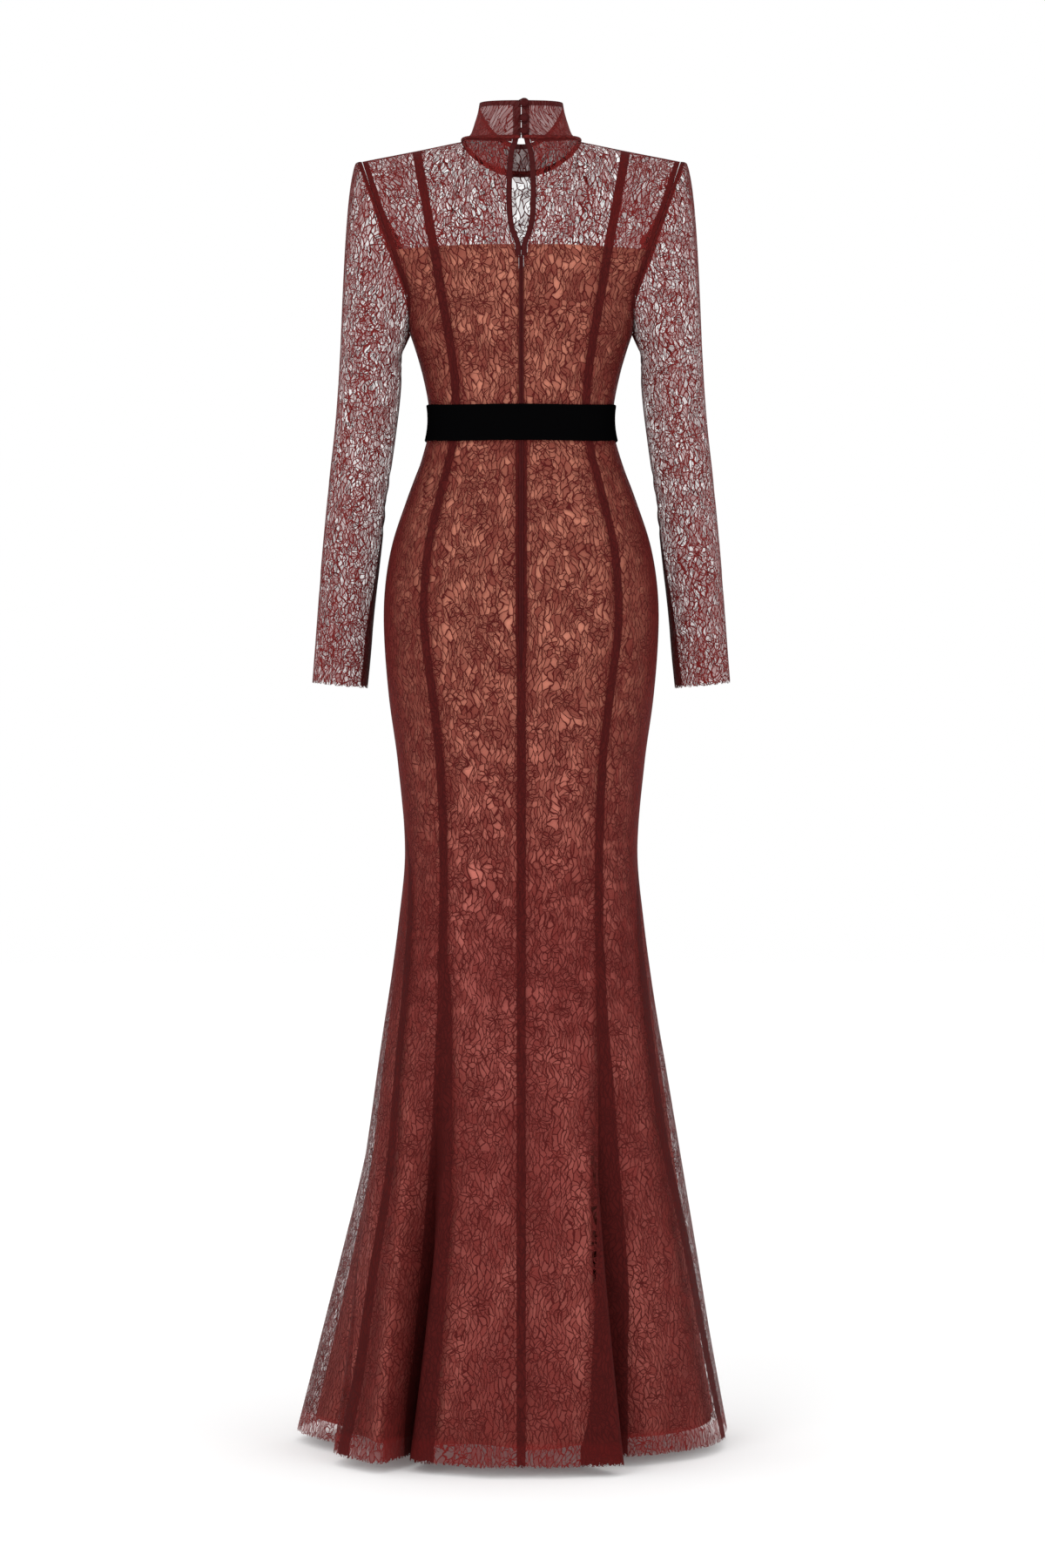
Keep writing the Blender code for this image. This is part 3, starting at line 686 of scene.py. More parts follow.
# %% The web of cords
CORD_SOFTNESS = 0.12
WEB_CELL = (5.0, 13.6, 1.0)
WEB_HALF = 0.6
WEB_RANDOMNESS = 0.72
WEB_SWAYS = ((0.08, (5.5, 4.0, 0.0)), (0.022, (24.0, 9.0, 0.0)))
FINE_CELL = (3.3, 7.5, 1.0)
FINE_HALF = 0.3
FINE_ZONE = (0.42, 0.52)
PETALS = 9.0
PETAL_LENGTH = 8.0
PETAL_SHIFT = 50.0  # so that no two flowers have the same petals
FAN_LINES = 17.0
FAN_CORD = (0.12, 0.34)
FANNED = 0.45  # share of the flowers with a fan
RIM_CORD = (0.3, 0.55)


def cord_web():
    """Cord mask and how far a cell is filled, from a place on the cloth in metres. Inside a
    flower the web is drawn round its heart, so that the cells become petals."""
    tree, entry, out = new_group(
        "cord_web",
        [("Place", "NodeSocketVector", None)],
        [("Cord", "NodeSocketFloat"), ("Fill", "NodeSocketFloat")],
    )
    place = vector_calc(tree, "MULTIPLY", entry.outputs["Place"], (1000.0, 1000.0, 0.0))
    bent, swept = web_places(tree, place)
    flower = flower_at(tree, bent)

    shift = calc(tree, "DIVIDE", flower.away, PETAL_LENGTH)
    shift = calc(tree, "MULTIPLY_ADD", flower.own[2], PETAL_SHIFT, shift)
    petal = {"X": times(tree, flower.turn, PETALS / math.tau), "Y": shift}
    petal = node(tree, "ShaderNodeCombineXYZ", petal).outputs[0]
    size = {"X": times(tree, flower.away, math.tau / PETALS), "Y": PETAL_LENGTH, "Z": 1.0}
    size = node(tree, "ShaderNodeCombineXYZ", size).outputs[0]
    upright = vector_calc(tree, "DIVIDE", swept, WEB_CELL)
    cells = mix_vector(tree, flower.bloom, upright, petal)
    size = mix_vector(tree, flower.bloom, WEB_CELL, size)
    web, nearest = even_lines(tree, cells, size, WEB_HALF)
    fill = node(tree, "ShaderNodeSeparateColor", {"Color": nearest.outputs["Color"]}).outputs[0]

    zone = rest_of(tree, step_down(tree, noise_at(tree, place, 0.05, 1.0), *FINE_ZONE))
    upright = vector_calc(tree, "DIVIDE", swept, FINE_CELL)
    fine = even_lines(tree, upright, FINE_CELL, FINE_HALF)[0]
    fine = times(tree, fine, zone, rest_of(tree, flower.bloom))

    fan = calc(tree, "ABSOLUTE", calc(tree, "SINE", times(tree, flower.turn, FAN_LINES)))
    fan = times(tree, fan, calc(tree, "DIVIDE", flower.away, FAN_LINES))
    outer = calc(tree, "MULTIPLY_ADD", flower.rim, -0.5, flower.away)
    outer = calc(tree, "GREATER_THAN", outer, 0.0)
    fanned = times(tree, calc(tree, "LESS_THAN", flower.own[2], FANNED), outer)
    fan = times(tree, step_down(tree, fan, *FAN_CORD), times(tree, flower.bloom, fanned))
    edge = step_down(tree, calc(tree, "ABSOLUTE", flower.past_rim), *RIM_CORD)
    cord = calc(tree, "MAXIMUM", calc(tree, "MAXIMUM", web, fine), fan)
    cord = calc(tree, "MAXIMUM", cord, times(tree, edge, flower.blooms))
    fill_sockets(tree, out, {"Cord": cord, "Fill": fill})
    return tree


def web_places(tree, place):
    """A place in millimetres, bent for the flowers and then swept for the upright cells."""
    places = [place]
    for scale, reach in WEB_SWAYS:
        move = node(
            tree,
            "ShaderNodeTexNoise",
            {"Vector": place, "Scale": scale, "Detail": 1.0},
            noise_dimensions="2D",
        ).outputs["Color"]
        move = vector_calc(tree, "SUBTRACT", move, (0.5, 0.5, 0.5))
        move = vector_calc(tree, "MULTIPLY", move, reach)
        places.append(vector_calc(tree, "ADD", places[-1], move))
    return places[1:]


CORD_WEB = cord_web()
print("cord web nodes", len(CORD_WEB.nodes))

# %% The lace itself
CORD_COLOUR = (0.055, 0.0058, 0.0056, 1.0)
CORD_LIGHT = (0.088, 0.0115, 0.0105, 1.0)
TULLE_COLOUR = (0.15, 0.019, 0.0165, 1.0)
GLOW_COLOUR = (0.23, 0.018, 0.0165, 1.0)
DENSE_COLOUR = (0.108, 0.0122, 0.0118, 1.0)
# Doubled cloth at the seams, and in the skirt's fold bands partly painted shade of the fold's
# valley.
SEAM_AND_FOLD_SHADE_COLOUR = (0.033, 0.0036, 0.0038, 1.0)
TULLE_FILL = (0.25, 0.95)
TULLE_OPACITY = (0.02, 0.56)
BAND_OPACITY = 0.985
BAND_EDGE = (-0.0004, 0.0005)
BAND_WANDER = 0.0014
WANDER_SCALE = 180.0
RAGGED_SCALE = 260.0
RAGGED_START = 0.32
TONE_SCALE = 45.0
BAND_RISE = 0.6
TULLE_ROUGHNESS = 0.85
CORD_GLOSS = -0.25
RAGGED_REACH = 0.008
RAGGED_EDGE = 0.0012
EYELASH = 0.0016
CORD_GLOW = 0.38
TULLE_GLOW = 0.6
DENSE_SHARE = 0.6
BAND_SHARE = 0.7


def lace_group():
    """Colour, opacity and relief of the lace from its layers: Band is metres outside the doubled
    cloth beside a seam and the dark band of a fold, which is partly painted shade, Raw is
    metres from the raw edge, Dense is how far it is closed up, and Sheer is 1 where light comes
    through from behind and the cords are given a painted glow."""
    layers = (("Band", 1.0), ("Raw", 1.0), ("Dense", 0.0), ("Sheer", 0.0))
    tree, entry, out = new_group(
        "corded_lace",
        [("Place", "NodeSocketVector", None)]
        + [(label, "NodeSocketFloat", value) for label, value in layers],
        [("Color", "NodeSocketColor")]
        + [(label, "NodeSocketFloat") for label in ("Alpha", "Height", "Roughness")],
    )
    place, dense, lit = (entry.outputs[label] for label in ("Place", "Dense", "Sheer"))
    web = node(tree, "ShaderNodeGroup", {"Place": place}, node_tree=CORD_WEB).outputs
    cord = web["Cord"]

    wander = calc(tree, "SUBTRACT", noise_at(tree, place, WANDER_SCALE, 1.0), 0.5)
    wander = times(tree, wander, BAND_WANDER)
    band = step_down(tree, calc(tree, "ADD", entry.outputs["Band"], wander), *BAND_EDGE)
    tulle = {"Value": web["Fill"], "From Min": TULLE_FILL[0], "From Max": TULLE_FILL[1]}
    tulle |= {"To Min": TULLE_OPACITY[0], "To Max": TULLE_OPACITY[1]}
    tulle = node(tree, "ShaderNodeMapRange", tulle).outputs["Result"]
    closed = calc(tree, "MAXIMUM", times(tree, band, BAND_OPACITY), dense)
    open_share = rest_of(tree, calc(tree, "MAXIMUM", cord, tulle))
    open_share = times(tree, open_share, rest_of(tree, closed))
    alpha = calc(tree, "SUBTRACT", 1.0, open_share, clamp=True)

    ragged = noise_at(tree, place, RAGGED_SCALE, 1.0)
    ragged = calc(tree, "SUBTRACT", ragged, RAGGED_START)
    past = calc(tree, "SUBTRACT", entry.outputs["Raw"], times(tree, ragged, RAGGED_REACH))
    kept = rest_of(tree, step_down(tree, past, 0.0, RAGGED_EDGE))
    eyelash = times(tree, cord, calc(tree, "GREATER_THAN", past, -EYELASH))
    alpha = times(tree, alpha, calc(tree, "MAXIMUM", kept, eyelash))

    cord_tone = mix_colour(tree, noise_at(tree, place, TONE_SCALE), CORD_COLOUR, CORD_LIGHT)
    cord_tone = mix_colour(tree, times(tree, lit, CORD_GLOW), cord_tone, GLOW_COLOUR)
    ground = mix_colour(tree, times(tree, lit, TULLE_GLOW), TULLE_COLOUR, GLOW_COLOUR)
    ground = mix_colour(tree, times(tree, dense, DENSE_SHARE), ground, DENSE_COLOUR)
    colour = mix_colour(tree, cord, ground, cord_tone)
    # The bands are darkened here, the fold bands partly as painted shade.
    made = {
        "Color": mix_colour(tree, times(tree, band, BAND_SHARE), colour, SEAM_AND_FOLD_SHADE_COLOUR),
        "Alpha": alpha,
        "Height": calc(tree, "MULTIPLY_ADD", band, BAND_RISE, cord),
        "Roughness": calc(tree, "MULTIPLY_ADD", cord, CORD_GLOSS, TULLE_ROUGHNESS),
    }
    fill_sockets(tree, out, made)
    return tree


def lace_material():
    made, tree, shader = surface_material("oxblood_corded_lace_fine")
    sockets = {label: attribute(tree, label.lower()) for label in ("Band", "Raw", "Dense", "Sheer")}
    sockets["Place"] = node(tree, "ShaderNodeUVMap", uv_map="UVMap").outputs["UV"]
    lace = node(tree, "ShaderNodeGroup", node_tree=lace_group())
    lace = fill_sockets(tree, lace, sockets).outputs
    relief = {"Height": lace["Height"], "Strength": 0.6, "Distance": 0.0007}
    finish = {"Base Color": lace["Color"], "Alpha": lace["Alpha"], "Roughness": lace["Roughness"]}
    finish["Normal"] = node(tree, "ShaderNodeBump", relief).outputs["Normal"]
    finish["Specular IOR Level"] = 0.03
    fill_sockets(tree, shader, finish)
    return made


LACE = lace_material()
print("lace nodes", len(LACE.node_tree.nodes))

# %% [markdown]
# ## Lace panels
# Seven panels run whole from shoulder to hem. Each is laid on the form row by row. One tube with
# drawn seams would look alike, but panels can be cut out flat and sewn. The doubled cloth beside
# a seam is about 5 mm wide, a little wider on the centre back seam under the belt.
# Three looks are laid on and don't come from the form. The lace closes up towards the sides and
# on the steep of a fold, because a net seen edge on looks closed from behind. The side line below
# the knee is doubled cloth between lines that were measured from behind. The dark bands of the
# folds lie between such lines too, and are partly the fold's doubled cloth and partly painted
# shade of its deep valley. From other sides the lace is likely to be closer and darker than the
# real one.

# %% Rows and columns of a panel
YOKE_STEPS = 54
LEVEL_STEP = 5.75
PANEL_COLUMNS = {"centre_front": 112}
COLUMNS = 56
PRINCESS_BAND = 5.6
SIDE_BAND = 4.6
FRONT_ARMHOLE_BAND = 17.0
ARMHOLE_BAND = 6.2
SHOULDER_BAND = 3.4
NECK_BAND = 5.0
CENTRE_BAND = 6.6
LOWER_CENTRE_BAND = 5.2
HIDDEN_BAND = 0.2
LOW_SIDE_BAND = 0.4


def gown_rows(top_share, bottom):
    shares = [top_share * (1 - i / YOKE_STEPS) for i in range(YOKE_STEPS)]
    if top_share < 0.5:
        shares = shares[:: YOKE_STEPS // 6]
    count = round((YOKE_BOTTOM - bottom) / LEVEL_STEP)
    return shares + [blend(YOKE_BOTTOM, bottom, i / count) for i in range(count + 1)]


def band_half(panel, edge, row, z):
    if edge in ("back", "back_again"):
        if row > 0:
            return 0.0
        reach = blend(CENTRE_BAND, LOWER_CENTRE_BAND, smooth((ZIP_END - z) / 40))
        return max(0.0, reach - centre_opening(z, False)) if z < BELT_ROW else HIDDEN_BAND
    if edge.startswith("side"):
        if row > 0 and panel.name.startswith("side_front"):
            return blend(FRONT_ARMHOLE_BAND, ARMHOLE_BAND, smooth((row - 0.15) / 0.35))
        if row > 0 or z > UNDERARM:
            return ARMHOLE_BAND
        return blend(SIDE_BAND, LOW_SIDE_BAND, smooth((-z - 800) / 120))
    return PRINCESS_BAND


FoldBand = namedtuple("FoldBand", "z inner outer")
# The fold's dark band lies between these lines: partly doubled cloth, partly painted shade.
FOLD_BAND_LEFT = rows_of(
    FoldBand,
    (-960, 85.5, 97.5),
    (-1012, 80.5, 96.5),
    (-1100, 79.4, 98.4),
    (-1187, 79.2, 105.1),
    (-1258, 80.0, 110.8),
    (-1344, 85.7, 117.4),
    (-1418, 91.5, 124.1),
    (-1466, 95.3, 130.8),
    (-1528, 99.1, 133.6),
)
FOLD_BAND_RIGHT = rows_of(
    FoldBand,
    (-960, 86.5, 97.5),
    (-1027, 90.0, 99.6),
    (-1115, 91.5, 107.4),
    (-1187, 88.6, 112.1),
    (-1258, 86.6, 117.8),
    (-1344, 84.2, 123.4),
    (-1421, 79.6, 122.1),
    (-1471, 76.5, 122.0),
    (-1514, 66.6, 121.8),
)
FAR_OUTSIDE = 100.0


def outside_fold(panel, spot):
    """How far a point of the skirt is outside the dark band of a fold over its princess seam:
    partly doubled cloth, partly painted shade of the fold's valley. The band is laid on between two
    lines measured from behind, and the front is given the same."""
    table = FOLD_BAND_LEFT if spot.x > 0 else FOLD_BAND_RIGHT
    if spot.z > table[0].z:
        return FAR_OUTSIDE
    if panel.name.startswith("centre"):
        return eased(table, "inner", spot.z) - abs(spot.x)
    return abs(spot.x) - eased(table, "outer", spot.z)


SideLine = namedtuple("SideLine", "z x half")
SIDE_LINE_LEFT = rows_of(
    SideLine,
    (-800, 138.5, 0.3),
    (-870, 130.5, 2.6),
    (-967, 132.8, 3.6),
    (-1098, 143.7, 4.2),
    (-1208, 152.0, 4.6),
    (-1327, 170.5, 5.4),
    (-1444, 187.0, 6.2),
    (-1518, 202.7, 7.0),
)
SIDE_LINE_RIGHT = rows_of(
    SideLine,
    (-830, 137.0, 0.3),
    (-938, 139.5, 4.0),
    (-1158, 163.4, 5.0),
    (-1286, 190.3, 5.5),
    (-1463, 224.0, 6.0),
    (-1528, 238.0, 6.0),
)


def outside_side_line(panel, spot, run):
    """Below the knee the side seam is drawn to the back and shows as a dark line. It is laid on
    along a line measured from behind. Its half width counts along x, and is made less where the
    cloth runs away from x, or it would be too wide along the cloth."""
    table = SIDE_LINE_LEFT if spot.x > 0 else SIDE_LINE_RIGHT
    if not panel.name.startswith("side_back") or spot.z > table[0].z:
        return FAR_OUTSIDE
    half = eased(table, "half", spot.z) * min(1.0, 2 * abs(run.normalized().x))
    return abs(abs(spot.x) - eased(table, "x", spot.z)) - half


def fold_depth(panel, cut, row):
    """How steeply a fold turns the cloth away from the plain form: 0 flat, 1 edge on."""
    if row > 0 or fold_growth(panel, cut, row) <= 0:
        return 0.0
    low, high = max(cut - 0.02, 0.0), min(cut + 0.02, 1.0)
    run = gown_point(panel, high, row) - gown_point(panel, low, row)
    plain = plain_point(panel, high, row) - plain_point(panel, low, row)
    run.z = plain.z = 0
    return 1 - max(-1.0, min(1.0, run.normalized().dot(plain.normalized())))


YOKE_SIDE_DENSITY = 0.2
SIDE_DENSITY = (0.24, 0.34, 0.1)  # bodice, hips, skirt
EDGE_DENSITY = (0.56, 0.3)  # above the knee, below it
FOLD_DENSITY = (0.42, 0.93)  # on the skirt, at its hem
FOLD_START = 0.12
HEM_DENSITY = 0.3
HEM_DEPTH = 45.0
BELOW_LINING = 6.0


def side_density(z, share):
    """How far the lace is closed up towards the sides, for the look of a net edge on from behind.
    Share is 1 at the widest."""
    side = blend(SIDE_DENSITY[0], SIDE_DENSITY[1], smooth((-z - 430) / 60))
    side = blend(side, SIDE_DENSITY[2], smooth((-z - 900) / 200))
    edge = blend(*EDGE_DENSITY, smooth((-z - 960) / 160))
    return side * smooth(share * 1.6 - 0.6) + edge * smooth((share - 0.88) / 0.11)


def lace_layers(panel, cuts, rows, points):
    """Band and raw are in metres, dense and sheer are shares. Dense was set against the
    photograph's one view."""
    down = lengths_down(points)
    across = [arc_lengths(line) for line in points]
    ends = [
        [band_half(panel, edge, row, line[0].z) for edge in (panel.first, panel.last)]
        for row, line in zip(rows, points)
    ]

    def values_at(r, c):
        row, cut, spot, z = rows[r], cuts[c], points[r][c], points[r][0].z
        run = points[r][min(c + 1, len(cuts) - 1)] - points[r][max(c - 1, 0)]
        top = SHOULDER_BAND if top_place(panel, cut)[1] >= 0.5 else NECK_BAND
        outside = min(
            across[r][c] - ends[r][0],
            across[r][-1] - across[r][c] - ends[r][1],
            down[c][r] - top,
            outside_fold(panel, spot),
            outside_side_line(panel, spot, run),
        )
        fold = blend(*FOLD_DENSITY, smooth((-z - 1440) / 60))
        fold *= smooth((fold_depth(panel, cut, row) - FOLD_START) / 0.5)
        if row > 0:
            side = YOKE_SIDE_DENSITY if panel.name.startswith("side") else 0.0
        else:
            side = side_density(z, abs(spot.x) / section_at(z).half)
        hem = HEM_DENSITY * smooth((z - HEM - HEM_DEPTH) / -25)
        sheer = 1.0 if row > LINING_TOP or z < LINING_HEM + BELOW_LINING else 0.0
        return outside * MM, (down[c][-1] - down[c][r]) * MM, max(fold, side, hem), sheer

    return layers_from(points, values_at)


# %% Soft creases and waves
GownCrease = namedtuple("GownCrease", "face x z slant length width depth")
GOWN_CREASES = rows_of(
    GownCrease,
    (1, 74, -288, 0.35, 28, 6, 1.3),
    (1, -70, -298, -0.3, 30, 6, 1.2),
    (1, 90, -376, -0.3, 30, 7, 1.2),
    (1, -86, -384, 0.35, 28, 7, 1.3),
    (1, 96, -246, -0.8, 24, 7, 1.2),
    (1, -98, -252, 0.8, 22, 6, 1.2),
    (1, 58, -812, 0.12, 48, 9, 1.6),
    (1, -50, -846, -0.15, 52, 9, 1.7),
    (1, 22, -878, 0.08, 60, 10, 1.2),
    (-1, 66, -294, 0.3, 30, 6, 1.3),
    (-1, -76, -286, -0.35, 28, 6, 1.2),
    (-1, 84, -388, -0.3, 32, 7, 1.3),
    (-1, -92, -378, 0.3, 28, 7, 1.1),
    (-1, -46, -508, 0.1, 56, 9, 1.2),
    (-1, 34, -524, -0.12, 60, 9, 1.3),
    (-1, 64, -880, 0.15, 44, 9, 1.3),
    (-1, -58, -902, -0.1, 48, 9, 1.4),
)
Wave = namedtuple("Wave", "panel cut top width rise")
WAVES = rows_of(
    Wave,
    ("centre_back_left", 0.30, -1010, 0.11, 4.2),
    ("centre_back_left", 0.55, -1180, 0.09, -3.2),
    ("centre_back_right", 0.64, -1060, 0.12, 4.0),
    ("centre_back_right", 0.42, -1230, 0.10, -3.4),
    ("side_back_left", 0.55, -1020, 0.14, 3.6),
    ("side_back_right", 0.45, -1090, 0.15, 4.0),
    ("side_front_left", 0.50, -1040, 0.14, 3.8),
    ("side_front_right", 0.55, -1100, 0.14, 3.6),
    ("centre_front", 0.30, -1050, 0.08, 4.2),
    ("centre_front", 0.52, -1150, 0.06, -3.4),
    ("centre_front", 0.70, -1000, 0.09, 4.0),
)
CREASE_REACH = 70.0
WAVE_GROWTH = 420.0


def crease_press(crease, along, rise):
    """How deep a crease is at a place along it and above its middle, in millimetres."""
    off = rise - crease.slant * along
    return crease.depth * math.exp(-((along / crease.length) ** 2) - (off / crease.width) ** 2)


def worn_point(panel, cut, row):
    """A point of the gown with its creases pressed in and the skirt's soft waves."""
    spot = gown_point(panel, cut, row)
    if row > 0:
        return spot
    move = 0.0
    for crease in GOWN_CREASES:
        rise = spot.z - crease.z
        if abs(rise) <= CREASE_REACH and crease.face * spot.y >= 0:
            move -= crease_press(crease, spot.x - crease.x, rise)
    edge = math.sin(math.pi * cut) ** 2
    for wave in WAVES:
        if wave.panel == panel.name and spot.z < wave.top:
            grown = smooth((wave.top - spot.z) / WAVE_GROWTH)
            move += wave.rise * grown * edge * math.exp(-(((cut - wave.cut) / wave.width) ** 2))
    return spot + Vector((spot.x, spot.y, 0)).normalized() * move


# %% Lay the seven panels
def outward_of(panel):
    middle = gown_point(panel, 0.5, -900.0)
    return Vector((middle.x, middle.y, 0)).normalized()


def area_of(points):
    total = 0.0
    for upper, lower in zip(points, points[1:]):
        for a, b, c, d in zip(upper, upper[1:], lower[1:], lower):
            total += ((c - a).cross(d - b)).length / 2
    return total * MM * MM


SEAM_ALLOWANCE = 10.0


def declare_sheet(piece, points, allowance=SEAM_ALLOWANCE):
    """The flat cut of a sheet: its widest row and its longest column, with seam allowances."""
    width = max(arc_lengths(line)[-1] for line in points) + 2 * allowance
    length = max(column[-1] for column in lengths_down(points)) + 2 * allowance
    area = area_of(points) + 2 * (length + width) * allowance * MM * MM
    flat = (round(width * MM, 3), round(length * MM, 3))
    area = min(area, 0.99 * flat[0] * flat[1])
    print(piece.name, "flat", flat, "area", round(area, 3))


for number, panel in enumerate(PANELS):
    columns = PANEL_COLUMNS.get(panel.name, COLUMNS)
    cuts = [c / columns for c in range(columns + 1)]
    rows = gown_rows(1.0, HEM)
    points = [[worn_point(panel, cut, row) for cut in cuts] for row in rows]
    layers = lace_layers(panel, cuts, rows, points)
    piece = make_sheet(
        "lace_" + panel.name, points, LACE, layers, 0.41 * number, outward_of(panel)
    )
    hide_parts(panel.name)
    declare_sheet(piece, points)

# %% [markdown]
# ## The nude lining
# A strapless column of stretch lining hangs inside, 3 mm off the lace down to the knee and
# further off at the hem, where it is 17 mm shorter. It is three pieces: two backs that meet at
# the zip and one front. A Solidify modifier on the lace could give it, but would give it the
# lace's creases too, so it follows the plain form moved in, and stays soft. Below the hips its
# colour is painted redder and darker in streaks, as painted shade for the lace's shadow and the
# light the red lace lets through, to look right from behind. A real lining may be one colour.

# %% How far in the lining lies
LINING_CUTS = (0.0, 0.25, 0.5, 0.75, 1.0)
LINING_FRONT_CUTS = (0.0, 0.125, 0.25, 0.5, 0.75, 0.875, 1.0)
MITRE_LIMIT = 0.45
LINING_HEM_WAVE = 3.0
LINING_HEM_SAG = 60.0
FALL = 8.0


def lining_depth(row):
    if row > 0:
        return LINING_OFFSET
    return blend(LINING_OFFSET, LINING_OFFSET_HEM, smooth((KNEE - row) / (KNEE - HEM)))


def inward_moves(panel, row):
    """Moves to the lining at a few places across a panel, mitred where the cloth turns."""
    cuts = LINING_FRONT_CUTS if panel.name == "centre_front" else LINING_CUTS
    index = PANELS.index(panel)
    before, after = PANELS[index - 1], PANELS[(index + 1) % len(PANELS)]
    spots = [gown_point(panel, cut, row) for cut in cuts]
    lower = row - FALL if row <= 0 else row * 0.9
    falls = [gown_point(panel, cut, lower) - spot for cut, spot in zip(cuts, spots)]
    closed = row <= UNDERARM
    first = gown_point(before, 0.75, row) if closed or "side" not in panel.first else None
    last = gown_point(after, 0.25, row) if closed or "side" not in panel.last else None
    line = [first] + spots + [last]
    moves = []
    for c, fall in enumerate(falls):
        here = line[c + 1]
        sides = []
        if line[c] is not None:
            sides.append((here - line[c]).cross(fall).normalized())
        if line[c + 2] is not None:
            sides.append((line[c + 2] - here).cross(fall).normalized())
        normal = sum(sides, Vector()).normalized()
        normal = normal / max(MITRE_LIMIT, normal.dot(sides[0]))
        moves.append(normal * -lining_depth(row))
    return cuts, moves


def lining_line(panel, columns, row):
    cuts, moves = inward_moves(panel, row)
    line = []
    for c in range(columns + 1):
        cut = c / columns
        i = max(i for i, low in enumerate(cuts[:-1]) if low <= cut)
        share = (cut - cuts[i]) / (cuts[i + 1] - cuts[i])
        spot = gown_point(panel, cut, row) + moves[i].lerp(moves[i + 1], share)
        sag = smooth((LINING_HEM + LINING_HEM_SAG - row) / LINING_HEM_SAG) if row < 0 else 0.0
        spot.z += sag * LINING_HEM_WAVE * math.sin(spot.x / 21 + 1.3 * math.sin(spot.y / 37))
        line.append(spot)
    return line


# %% A soft stretch finish for the lining
LINING_COLOUR = (0.62, 0.232, 0.155, 1.0)
LINING_SHADE = (0.5, 0.165, 0.108, 1.0)
# Painted shade: below the hips the lining is painted darker and redder in streaks, for the lace's
# shadow and the light it reddens.
PAINTED_SHADE_LINING_PALE = (0.52, 0.138, 0.112, 1.0)
PAINTED_SHADE_LINING_DEEP = (0.35, 0.074, 0.062, 1.0)
PAINTED_SHADE_SPAN = (-1.0, -0.52)
KNIT = (0.55, 0.8, 1.0)
KNIT_RANDOMNESS = 0.1
LINING_TONE = 18.0
PAINTED_SHADE_STREAK_SCALE = (16.0, 4.5, 0.0)
PAINTED_SHADE_STREAKS = (0.42, 0.66)


def lining_material():
    made, tree, shader = surface_material("nude_stretch_lining")
    uv = node(tree, "ShaderNodeUVMap", uv_map="UVMap").outputs["UV"]
    place = vector_calc(tree, "MULTIPLY", uv, (1000.0, 1000.0, 0.0))
    place = vector_calc(tree, "DIVIDE", place, KNIT)
    knit = cells_near(tree, place, "F1", KNIT_RANDOMNESS).outputs["Distance"]
    upper = mix_colour(tree, noise_at(tree, uv, LINING_TONE), LINING_SHADE, LINING_COLOUR)
    # Painted shade below the hips, streaked, for the shadow of the lace held off the lining.
    shade_streak = noise_at(tree, vector_calc(tree, "MULTIPLY", uv, PAINTED_SHADE_STREAK_SCALE), 1.0)
    shade_streak = rest_of(tree, step_down(tree, shade_streak, *PAINTED_SHADE_STREAKS))
    lower = mix_colour(tree, shade_streak, PAINTED_SHADE_LINING_DEEP, PAINTED_SHADE_LINING_PALE)
    spot = node(tree, "ShaderNodeTexCoord").outputs["Object"]
    height = node(tree, "ShaderNodeSeparateXYZ", {"Vector": spot}).outputs["Z"]
    relief = {"Height": knit, "Strength": 0.25, "Distance": 0.0002}
    finish = {
        "Base Color": mix_colour(tree, step_down(tree, height, *PAINTED_SHADE_SPAN), upper, lower),
        "Normal": node(tree, "ShaderNodeBump", relief).outputs["Normal"],
        "Roughness": 0.62,
        "Specular IOR Level": 0.15,
    }
    fill_sockets(tree, shader, finish)
    return made


LINING = lining_material()
print("lining nodes", len(LINING.node_tree.nodes))

# %% Hang the lining
LINING_PIECES = (
    ("lining_back_left", (0, 1)),
    ("lining_front", (2, 3, 4)),
    ("lining_back_right", (5, 6)),
)
LINING_COLUMNS = 32
LINING_WALL = 0.6

for name, members in LINING_PIECES:
    points = []
    for row in gown_rows(LINING_TOP, LINING_HEM)[::2]:
        line = []
        for member in members:
            panel = PANELS[member]
            columns = LINING_COLUMNS * (2 if panel.name == "centre_front" else 1)
            line += lining_line(panel, columns, row)[1 if line else 0 :]
        points.append(line)
    piece = make_sheet("fine_" + name, points, LINING, outward=outward_of(PANELS[members[1]]))
    wall = piece.modifiers.new("cloth", "SOLIDIFY")
    wall.thickness = LINING_WALL * MM
    wall.offset = -1.0
    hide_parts(name)
    declare_sheet(piece, points)

# %% [markdown]
# ## Sleeves
# Each sleeve is one tube set into the armhole. Its cap rounds over from the armhole seam with a
# slightly roped head, and below the underarm its rings narrow to the cuff. A straight cylinder
# would be simpler, but the bend and the creases at the elbow are what worn cloth shows. The seam
# runs along the underside, so the sheet's two edges meet there, with doubled cloth that widens to
# the cuff. The inner and outer sides are closed up, for the look of a net edge on from behind.

